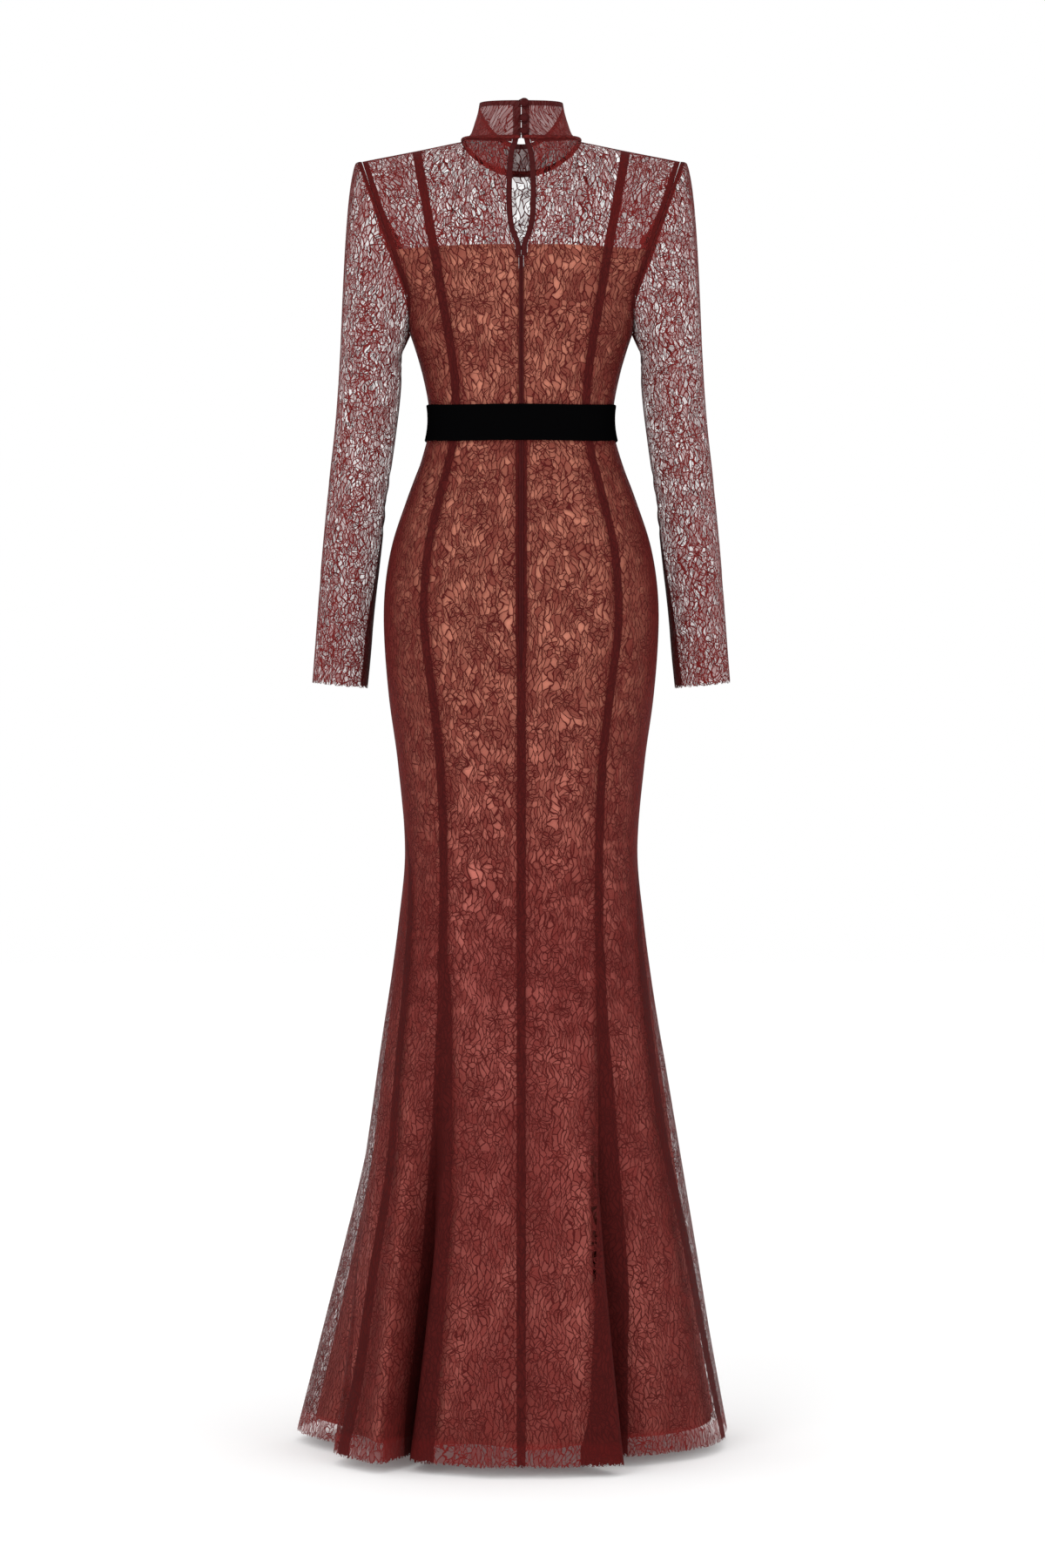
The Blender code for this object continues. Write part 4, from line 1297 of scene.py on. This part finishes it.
# %% The sleeve's form
ARMHOLE_GAP = 0.7
SleeveRing = namedtuple("SleeveRing", "z outer inner depth middle_y")
SLEEVE_RINGS = rows_of(
    SleeveRing,
    (-247, 213.7, 139.6, 49, 0),
    (-300, 216.8, 142.8, 48, -1),
    (-350, 221.0, 148.8, 46, -3),
    (-400, 226.8, 155.8, 43.5, -6),
    (-450, 232.0, 162.0, 42, -10),
    (-505, 237.4, 168.4, 40, -16),
    (-555, 241.5, 174.4, 37.5, -22),
    (-605, 245.6, 178.8, 35, -28),
    (-645, 249.0, 183.0, 33, -33),
)
CAP_STEPS = (0.0, 0.02, 0.07, 0.16, 0.32, 0.52, 0.76, 1.0)
CAP_RISE = 2.2
CAP_ROUND = 0.3
SLEEVE_TILT = 0.1
LOWEST_YOKE_ROW = 0.0001  # a share, as a row of 0 or less is a level height
ARMHOLE_ROWS = (1.0, 0.85, 0.7, 0.5, 0.3, 0.17, 0.07, -150, -180, -210, -232)
SLEEVE_COLUMNS = 96
CAP_ROWS = 28
SLEEVE_ROWS = 100


def armhole_point(way):
    """The left armhole: way 0 shoulder tip, 0.5 underarm, 1 shoulder tip again by the front."""
    step = (1 - abs(1 - 2 * way)) * (len(ARMHOLE_ROWS) - 1)
    low = min(int(step), len(ARMHOLE_ROWS) - 2)
    ends = ARMHOLE_ROWS[low], ARMHOLE_ROWS[low + 1]
    if ends[1] == YOKE_BOTTOM:
        row = max(LOWEST_YOKE_ROW, blend(ends[0], 0.0, step - low))
    else:
        row = blend(*ends, step - low)
    panel, cut = (PANELS[1], 1.0) if way <= 0.5 else (PANELS[2], 0.0)
    return gown_point(panel, cut, row)


def sleeve_ring_point(way, z):
    ring = SleeveRing(z, *(eased(SLEEVE_RINGS, key, z) for key in SleeveRing._fields[1:]))
    middle = (ring.outer + ring.inner) / 2
    half = (ring.outer - ring.inner) / 2
    angle = 2 * math.pi * way
    tilt = SLEEVE_TILT * half * math.cos(angle)
    return Vector(
        (middle + half * math.cos(angle), ring.middle_y + ring.depth * math.sin(angle), z + tilt)
    )


def cap_point(way, r):
    """A point of the cap: r runs from 0 at the armhole to 7 at the first ring."""
    steps = len(CAP_STEPS) - 1
    low = min(int(r), steps - 1)
    top_step = blend(CAP_STEPS[low], CAP_STEPS[low + 1], r - low)
    around = abs(1 - 2 * way)
    step = blend(r / steps, top_step, around**2)
    reach = step ** blend(1.0, CAP_ROUND, around**1.3) if step > 0 else 0.0
    rise = CAP_RISE * around**4 * max(0.0, 1 - abs(r - 1))
    start, end = armhole_point(way), sleeve_ring_point(way, SLEEVE_RINGS[0].z)
    return Vector(
        (
            blend(start.x, end.x, reach),
            blend(start.y, end.y, reach),
            blend(start.z, end.z, step) + rise,
        )
    )


# %% Soft creases
Crease = namedtuple("Crease", "way z slant length width depth")
SLEEVE_CREASES = rows_of(
    Crease,
    (0.42, -268, 0.6, 34, 6, 1.8),
    (0.36, -292, 0.5, 40, 7, 1.4),
    (0.58, -275, -0.6, 34, 6, 1.6),
    (0.40, -404, 0.25, 38, 6, 1.5),
    (0.33, -428, -0.2, 46, 7, 1.9),
    (0.43, -452, -0.35, 36, 6, 1.5),
    (0.60, -415, 0.3, 40, 7, 1.7),
    (0.66, -440, -0.25, 44, 7, 1.6),
    (0.10, -520, 0.2, 36, 8, 0.9),
    (0.80, -545, -0.3, 42, 8, 1.0),
    (0.30, -590, 0.25, 32, 7, 0.9),
)
SLEEVE_GIRTH = 210.0
CAP_CLOSENESS = 1.5  # the rows of the cap lie closer together near the armhole


def sleeve_points(side):
    grid = []
    ways = [(0.5 + j / SLEEVE_COLUMNS) % 1.0 for j in range(SLEEVE_COLUMNS + 1)]
    for r in range(CAP_ROWS):
        step = (len(CAP_STEPS) - 1) * (r / CAP_ROWS) ** CAP_CLOSENESS
        grid.append([cap_point(way, step) for way in ways])
    for j in range(len(ways)):
        away = grid[1][j] - grid[0][j]
        grid[0][j] = grid[0][j] + away.normalized() * ARMHOLE_GAP
    top, cuff = SLEEVE_RINGS[0].z, SLEEVE_RINGS[-1].z
    for r in range(SLEEVE_ROWS + 1):
        z = blend(top, cuff, r / SLEEVE_ROWS)
        grid.append([sleeve_ring_point(way, z) for way in ways])
    for line in grid[1:-1]:
        for j, way in enumerate(ways):
            here = line[j]
            middle_x = 0.5 * (line[0].x + line[SLEEVE_COLUMNS // 2].x)
            inward = (Vector((middle_x, here.y * 0.2, here.z)) - here).normalized()
            depth = 0.0
            for crease in SLEEVE_CREASES:
                along = (way - crease.way) * SLEEVE_GIRTH
                depth += crease_press(crease, along, here.z - crease.z)
            line[j] = here + inward * depth
    if side < 0:
        grid = [[Vector((-p.x, p.y, p.z)) for p in line] for line in grid]
    return grid


# %% Set both sleeves in
CUFF_BAND = 5.0
SEAM_BAND_TOP = 1.6
SEAM_REACH_TOP = 6.0  # how much further the doubled cloth shows behind than in front
SEAM_REACH_CUFF = 19.0
ROPED_BAND = 5.0
SLEEVE_EDGE_DENSITY = 0.6
SLEEVE_EDGE_SHADE = 0.9  # how far the cords stop glowing at the sleeve's dense edges
SLEEVE_DENSITY = 0.07
SLEEVE_LOW_DENSITY = 0.16
LOWER_SLEEVE = -380.0
SLEEVE_LACE_START = 3.1
SLEEVE_LACE_STEP = 0.7


def sleeve_layers(points):
    down = lengths_down(points)
    across = [arc_lengths(line) for line in points]

    def values_at(r, c):
        lower = smooth((LOWER_SLEEVE - points[r][0].z) / 240)
        half = blend(SEAM_BAND_TOP, CUFF_BAND, lower)
        behind = half + blend(SEAM_REACH_TOP, SEAM_REACH_CUFF, lower)
        seam = min(across[r][c] - half, across[r][-1] - across[r][c] - behind)
        outside = min(seam, down[c][r] - ROPED_BAND)
        edge = smooth(2.6 * math.cos(4 * math.pi * c / SLEEVE_COLUMNS) - 1.6)
        low = SLEEVE_LOW_DENSITY * smooth((LOWER_SLEEVE - points[r][c].z) / 230)
        dense = max(SLEEVE_DENSITY + low, SLEEVE_EDGE_DENSITY * edge)
        sheer = 1 - SLEEVE_EDGE_SHADE * edge
        return outside * MM, (down[c][-1] - down[c][r]) * MM, dense, sheer

    return layers_from(points, values_at)


def sleeve_uvs(points, start):
    """Metres along the cloth. The cap keeps the width of the first ring, so the web runs on."""
    down = lengths_down(points)
    middle = SLEEVE_COLUMNS // 2
    ringed = arc_lengths([line[middle] for line in points[CAP_ROWS:]])
    uvs = []
    for r, line in enumerate(points):
        spread = arc_lengths(points[max(r, CAP_ROWS)])
        uvs.append([])
        for c in range(len(line)):
            v = down[c][CAP_ROWS] - down[c][r] if r < CAP_ROWS else -ringed[r - CAP_ROWS]
            uvs[-1].append(((spread[c] - spread[middle]) * MM + start, v * MM))
    return uvs


for name, side in (("left", 1), ("right", -1)):
    points = sleeve_points(side)
    uvs = sleeve_uvs(points, SLEEVE_LACE_START + SLEEVE_LACE_STEP * side)
    piece = make_sheet(
        "lace_sleeve_" + name,
        points,
        LACE,
        sleeve_layers(points),
        outward=Vector((side, 0, 0)),
        uvs=uvs,
    )
    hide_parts("sleeve_" + name)
    declare_sheet(piece, points)

# %% [markdown]
# ## Stand collar
# The collar rises from the neckline, flares at its base over a soft rolled seam, and is open at
# centre back behind the buttons. It could be a straight strip bent round a ring, but the neckline
# dips at the back and the front, so every row is drawn from the neckline up. Its top edge and
# both ends are turned in, so the lace is double there.

# %% The collar
CollarRow = namedtuple("CollarRow", "share half back front")
COLLAR_ROWS = rows_of(
    CollarRow,
    (0.0, 67.5, 62.0, 66.0),
    (0.1, 63.0, 59.5, 64.0),
    (0.2, 59.5, 57.0, 62.5),
    (0.45, 55.5, 54.0, 60.5),
    (0.75, 51.5, 51.5, 59.0),
    (1.0, 49.4, 50.0, 58.0),
)
COLLAR_TOP_SIDE = 42.0
COLLAR_TOP_BACK_DROP = 4.5
COLLAR_TOP_FRONT_DROP = 38.0
COLLAR_GAP = 0.4
COLLAR_OPENING = 0.3
COLLAR_COLUMNS = 192
COLLAR_STEPS = 24
TOP_HEM = 6.5
BASE_TURN = 3.0
PLACKET = 9.5
COLLAR_ALLOWANCE = 3.0
COLLAR_DENSITY = 0.78
COLLAR_SHEER = 0.55
COLLAR_LACE_START = 5.2


def neckline_at(angle):
    across = math.sin(math.radians(angle))
    side = 1 if math.cos(math.radians(angle)) >= 0 else -1
    turn = math.degrees(math.asin(min(1.0, abs(across)))) / 90
    return neck_point(turn, side, 1 if across > 0 else -1)


def collar_point(angle, share):
    base = neckline_at(angle) + Vector((0, 0, COLLAR_GAP))
    along = math.cos(math.radians(angle))
    across = math.sin(math.radians(angle))
    depth = eased(COLLAR_ROWS, "back" if across > 0 else "front", share, "share")
    half = eased(COLLAR_ROWS, "half", share, "share")
    drop = COLLAR_TOP_BACK_DROP if across > 0 else COLLAR_TOP_FRONT_DROP
    top = COLLAR_TOP_SIDE - drop * abs(across) ** NECK_DROP_POWER
    return Vector((half * along, depth * across, blend(base.z, top, share)))


def collar_angles(columns):
    open_angle = math.degrees(COLLAR_OPENING / COLLAR_ROWS[-1].half)
    turn = 360 - 2 * open_angle
    return [90 - open_angle - turn * c / columns for c in range(columns + 1)]


angles = collar_angles(COLLAR_COLUMNS)
points = [
    [collar_point(angle, 1 - r / COLLAR_STEPS) for angle in angles] for r in range(COLLAR_STEPS + 1)
]
heights = lengths_down(points)
widths = [arc_lengths(line) for line in points]


def collar_values(r, c):
    outside = min(
        heights[c][r] - TOP_HEM,
        heights[c][-1] - heights[c][r] - BASE_TURN,
        widths[r][c] - PLACKET,
        widths[r][-1] - widths[r][c] - PLACKET,
    )
    return outside * MM, 1.0, COLLAR_DENSITY, COLLAR_SHEER


layers = layers_from(points, collar_values)
collar = make_sheet("lace_collar", points, LACE, layers, COLLAR_LACE_START, Vector((0, -1, 0)))
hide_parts("collar")
declare_sheet(
    collar, points, COLLAR_ALLOWANCE
)

# %% [markdown]
# ## Satin trim
# The bound edges of the keyhole, the zip, the covered buttons and their loops are cut from one
# oxblood satin. The rolled seam under the collar is a tube of the lace itself. Bevelled curves
# could make the tubes, but a grid wrapped round a line has the same UV map in metres as the
# cloth, which the lace needs.

# %% Oxblood satin
SATIN_COLOUR = (0.075, 0.009, 0.0095, 1.0)
SATIN_SHADE = (0.032, 0.004, 0.0042, 1.0)


def satin_material():
    made, tree, shader = surface_material("oxblood_satin_fine")
    place = node(tree, "ShaderNodeTexCoord").outputs["Object"]
    thread = node(
        tree,
        "ShaderNodeTexWave",
        {"Vector": place, "Scale": 900.0, "Distortion": 2.5, "Detail": 1.0},
        bands_direction="DIAGONAL",
    ).outputs["Fac"]
    tone = node(tree, "ShaderNodeTexNoise", {"Vector": place, "Scale": 240.0}).outputs["Fac"]
    height = calc(tree, "ADD", thread, times(tree, tone, 1.5))
    relief = {"Height": height, "Strength": 0.5, "Distance": 0.0004}
    finish = {
        "Base Color": mix_colour(tree, tone, SATIN_SHADE, SATIN_COLOUR),
        "Normal": node(tree, "ShaderNodeBump", relief).outputs["Normal"],
        "Roughness": 0.5,
        "Specular IOR Level": 0.05,
    }
    fill_sockets(tree, shader, finish)
    return made


SATIN = satin_material()


def make_tube(name, line, radius, surface, sides=10, layer_values=None):
    """A round tube along a line of points, closed at both ends where it is pinched."""
    rows = []
    for i, spot in enumerate(line):
        run = (line[min(i + 1, len(line) - 1)] - line[max(i - 1, 0)]).normalized()
        across = run.orthogonal().normalized() if i == 0 else rows[-1][1]
        across = (across - run * across.dot(run)).normalized()
        size = radius(i / (len(line) - 1)) if callable(radius) else radius
        rows.append((spot, across, run.cross(across), size))
    points = []
    for spot, across, up, size in rows:
        turns = [2 * math.pi * j / sides for j in range(sides + 1)]
        points.append([spot + (across * math.cos(t) + up * math.sin(t)) * size for t in turns])
    layers = layers_from(points, lambda r, c: layer_values) if layer_values else None
    return make_sheet(name, points, surface, layers, closed=True)


# %% Rolled seam and keyhole bindings
ROLL_RADIUS = 2.7
ROLL_STEPS = 160
ROLL_OUT = 1.2
ROLL_UP = 1.6
ROLL_VALUES = (1.0, 1.0, 0.86, 0.0)
TIP = 0.0001  # keeps a little width at a pinched end


def pinched(radius, share):
    """A radius that closes at both ends."""
    return lambda t: radius * min(1.0, math.sqrt(min(t, 1 - t) / share + TIP))


roll = []
for angle in collar_angles(ROLL_STEPS):
    spot = neckline_at(angle)
    out = Vector((spot.x, spot.y, 0)).normalized()
    roll.append(spot + out * ROLL_OUT + Vector((0, 0, ROLL_UP)))
radius = pinched(ROLL_RADIUS, 0.01)
rolled_seam = make_tube("collar_rolled_seam", roll, radius, LACE, 14, ROLL_VALUES)

BINDING_STEPS = 70
BINDING_SIDES = 12
BINDING_HALF_DEPTH = 1.1
BINDING_SINK = 0.2


def centre_line(row, x):
    panel = PANELS[0]
    spot = yoke_point(panel, 0, row) if row > 0 else plain_point(panel, 0, row)
    return Vector((x, spot.y, spot.z))


def binding_inner(z):
    return eased(KEYHOLE, "half", z) if z > KEYHOLE[-1].z - 1 else SEAM_GAP / 2


def binding_points(side):
    """The cross profile of a bound edge is a flat roll, thickest at its middle."""
    points = []
    for i in range(BINDING_STEPS + 1):
        row = max(LOWEST_YOKE_ROW, 1 - i / BINDING_STEPS)
        spot = centre_line(row, 0)
        fall = centre_line(max(LOWEST_YOKE_ROW, row - 0.01), 0) - spot
        normal = Vector((0, 1, 0))
        if fall.length > 0:
            normal = Vector((1, 0, 0)).cross(fall).normalized()
        middle = binding_inner(spot.z) + BINDING_WIDTH / 2
        line = []
        for j in range(BINDING_SIDES + 1):
            turn = 2 * math.pi * j / BINDING_SIDES
            x = middle + BINDING_WIDTH / 2 * math.cos(turn)
            proud = BINDING_HALF_DEPTH * math.sin(turn) - BINDING_SINK
            line.append(Vector((side * x, spot.y, spot.z)) + normal * proud)
        points.append(line)
    return points


for name, side in (("left", 1), ("right", -1)):
    points = binding_points(side)
    piece = make_sheet("bound_keyhole_" + name, points, SATIN, closed=True)
    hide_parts("keyhole_binding_" + name)

# %% Concealed zip
ZIP_STEPS = 200
ZIP_DEPTH = 1.4
LIP = (0.0, 0.55, 0.8, 0.9, 0.8, 0.45, -0.35, 0.45, 0.8, 0.9, 0.8, 0.55, 0.0)

points = []
for i in range(ZIP_STEPS + 1):
    z = blend(YOKE_BOTTOM - SEAM_GAP, ZIP_TAPER_END, i / ZIP_STEPS)
    half = zip_half(z)
    face = [
        centre_line(z, half * (1 - 2 * j / (len(LIP) - 1))) + Vector((0, lip * half / ZIP_HALF, 0))
        for j, lip in enumerate(LIP)
    ]
    back = [spot + Vector((0, -ZIP_DEPTH, 0)) for spot in (face[-1], face[len(LIP) // 2], face[0])]
    points.append(face + back + face[:1])
zip_piece = make_sheet("concealed_zip", points, SATIN, closed=True)
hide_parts("back_zip")

# %% Covered buttons and their loops
BUTTON_RADIUS = 4.9
BUTTON_HALF_DEPTH = 2.6
BUTTON_SIDE = -3.4
BUTTON_HEIGHTS = (34.0, 15.0, -1.5)
BUTTON_GAPS = (0.3, 0.3, 0.55)
BUTTON_WAIST = 0.07
WAIST_PLACE = 1.1
WAIST_SOFTNESS = 0.5
LOOP_RADIUS = 0.8
LOOP_TURN = 125
LOOP_STEPS = 24
LOOP_END = Vector((5.5, 0, 0))
LOOP_TUCK = 2.0
LOOP_SINK = 1.2
LOOP_HUG = 0.6
SEAT_ANGLE = 89.7
SEAT_STEPS = 60


def button_seat(z):
    edge = [collar_point(SEAT_ANGLE, i / SEAT_STEPS) for i in range(SEAT_STEPS + 1)]
    index = min(range(SEAT_STEPS), key=lambda i: abs(edge[i].z - z))
    slope = edge[index + 1] - edge[index]
    normal = slope.cross(Vector((1, 0, 0))).normalized()
    if normal.y < 0:
        normal = -normal
    seat = edge[index].copy()
    seat.x = BUTTON_SIDE
    return seat, normal


for number, (z, gap) in enumerate(zip(BUTTON_HEIGHTS, BUTTON_GAPS), 1):
    seat, normal = button_seat(z)
    bm = bmesh.new()
    bmesh.ops.create_uvsphere(bm, u_segments=32, v_segments=20, radius=BUTTON_RADIUS * MM)
    bmesh.ops.scale(bm, vec=(1, 1, BUTTON_HALF_DEPTH / BUTTON_RADIUS), verts=bm.verts)
    for vert in bm.verts:
        waist = math.exp(-(((vert.co.z / MM + WAIST_PLACE) / WAIST_SOFTNESS) ** 2))
        vert.co.xy *= 1 - BUTTON_WAIST * waist
    turn = Vector((0, 0, 1)).rotation_difference(normal).to_matrix()
    bmesh.ops.rotate(bm, cent=(0, 0, 0), matrix=turn, verts=bm.verts)
    place = seat + normal * (BUTTON_HALF_DEPTH + gap)
    bmesh.ops.translate(bm, vec=place * MM, verts=bm.verts)
    button = new_object(f"covered_button_{number}", bm, SATIN)
    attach(button, "root")
    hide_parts(f"button_{number}")
    up = normal.cross(Vector((1, 0, 0))).normalized()
    loop = []
    reach = BUTTON_RADIUS + LOOP_RADIUS * LOOP_HUG
    for i in range(LOOP_STEPS + 1):
        angle = math.radians(-LOOP_TURN + 2 * LOOP_TURN * i / LOOP_STEPS)
        spot = place - normal * LOOP_SINK - Vector((reach * math.cos(angle), 0, 0))
        loop.append(spot + up * (reach * math.sin(angle)))
    loop = [loop[0] + LOOP_END + up * LOOP_TUCK, *loop, loop[-1] + LOOP_END - up * LOOP_TUCK]
    loop_piece = make_tube(f"button_loop_{number}", loop, pinched(LOOP_RADIUS, 0.05), SATIN, 8)

# %% [markdown]
# ## Velvet belt
# The belt is one flat band of black velvet with turned edges. A strip bent into a ring would
# stand off the waist in places, so it is laid on the gown's own points moved out. Velvet is
# nearly black face on and only its pile catches light edge on.


# %% Black velvet and the belt
VELVET_COLOUR = (0.0005, 0.0005, 0.0006, 1.0)
VELVET_LIGHT = (0.0022, 0.0021, 0.0024, 1.0)


def velvet_material():
    made, tree, shader = surface_material("black_velvet_pile")
    place = node(tree, "ShaderNodeTexCoord").outputs["Object"]
    pile = {"Vector": place, "Scale": 1400.0, "Detail": 3.0}
    pile = node(tree, "ShaderNodeTexNoise", pile).outputs["Fac"]
    relief = {"Height": pile, "Strength": 0.4, "Distance": 0.0004}
    finish = {
        "Base Color": mix_colour(tree, pile, VELVET_COLOUR, VELVET_LIGHT),
        "Normal": node(tree, "ShaderNodeBump", relief).outputs["Normal"],
        "Roughness": 0.95,
        "Specular IOR Level": 0.0,
    }
    fill_sockets(tree, shader, finish)
    return made


VELVET = velvet_material()
BELT_EDGE = (0.0, 0.006, 0.02, 0.045, 0.09, 0.2, 0.35, 0.5)
BELT_PUFF = (0.35, 0.75, 0.95, 1.03, 1.0, 1.0, 1.06, 1.1)
BELT_COLUMNS = 44


def belt_points():
    shares = BELT_EDGE + tuple(1 - share for share in reversed(BELT_EDGE[:-1]))
    puffs = BELT_PUFF + tuple(reversed(BELT_PUFF[:-1]))
    columns = []
    for panel in PANELS:
        for c in range(BELT_COLUMNS):
            cut = c / BELT_COLUMNS
            here = gown_point(panel, cut, BELT_ROW)
            run = gown_point(panel, cut + 0.01, BELT_ROW) - here
            normal = Vector((-run.y, run.x, 0)).normalized()
            if normal.dot(here) < 0:
                normal = -normal
            top = BELT_TOP - BELT_DIP * smooth(here.y / section_at(BELT_ROW).back)
            ring = []
            inside = [gown_point(panel, cut, top - BELT_WIDTH * share) for share in shares]
            for spot, puff in zip(inside, puffs):
                ring.append(spot + normal * (SEAM_GAP + BINDING_PROUD + BELT_WALL * puff))
            for spot in reversed(inside):
                ring.append(spot + normal * (SEAM_GAP + BINDING_PROUD))
            ring.append(ring[0])
            columns.append(ring)
    columns.append([spot.copy() for spot in columns[0]])
    return columns


belt = make_sheet("velvet_belt", belt_points(), VELVET, closed=True)
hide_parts("belt")

# %% [markdown]
# ## Studio
# The gown stands just above a plain pale floor in soft light from all round, as in a catalogue
# picture, with the camera behind it at half its height. Large soft lamps are chosen over small
# ones, because hard shadows would hide the lace.

# %% Floor and backdrop
FLOOR_GAP = 12.0
CAMERA_DISTANCE = 4500.0
CAMERA_X = -1.5
CAMERA_Z = -762.2
HALF_HEIGHT = 927.0

bm = bmesh.new()
bmesh.ops.create_grid(bm, x_segments=8, y_segments=8, size=12.0)
bmesh.ops.translate(bm, vec=(0, 0, (HEM - FLOOR_GAP) * MM), verts=bm.verts)
floor_finish, floor_tree, floor_shader = surface_material("pale_floor")
finish = {
    "Base Color": (0.93, 0.93, 0.93, 1),
    "Roughness": 0.9,
    "Specular IOR Level": 0.1,
    "Emission Color": (1, 1, 1, 1),
    "Emission Strength": 0.09,
}
fill_sockets(floor_tree, floor_shader, finish)
new_object("floor", bm, floor_finish)

# %% Light
world = bpy.data.worlds.new("studio")
bpy.context.scene.world = world
world.use_nodes = True
world.node_tree.nodes["Background"].inputs["Color"].default_value = (1, 1, 1, 1)
world.node_tree.nodes["Background"].inputs["Strength"].default_value = 1.0
bpy.context.scene.view_settings.view_transform = "Standard"


def soft_light(name, place, target, size, power):
    lamp = bpy.data.lights.new(name, "AREA")
    lamp.shape = "RECTANGLE"
    lamp.size, lamp.size_y = size
    lamp.energy = power
    made = bpy.data.objects.new(name, lamp)
    made.location = place
    made.rotation_euler = (Vector(target) - Vector(place)).to_track_quat("-Z", "Y").to_euler()
    bpy.context.scene.collection.objects.link(made)
    print("light", name, power, "W")


soft_light("key", (1.6, 3.2, 0.7), (0, 0, -0.6), (1.6, 2.2), 34.0)
soft_light("fill", (-2.2, 2.6, 0.0), (0, 0, -0.8), (1.6, 2.2), 16.0)

# %% Camera
camera_data = bpy.data.cameras.new("camera")
camera_data.lens = camera_data.sensor_width / 2 * CAMERA_DISTANCE / HALF_HEIGHT
camera_data.clip_end = 100.0
camera = bpy.data.objects.new("camera", camera_data)
camera.location = (CAMERA_X * MM, CAMERA_DISTANCE * MM, CAMERA_Z * MM)
camera.rotation_euler = (math.radians(90), 0, math.radians(180))
bpy.context.scene.collection.objects.link(camera)
bpy.context.scene.camera = camera
print("camera lens", round(camera_data.lens, 1), "mm")
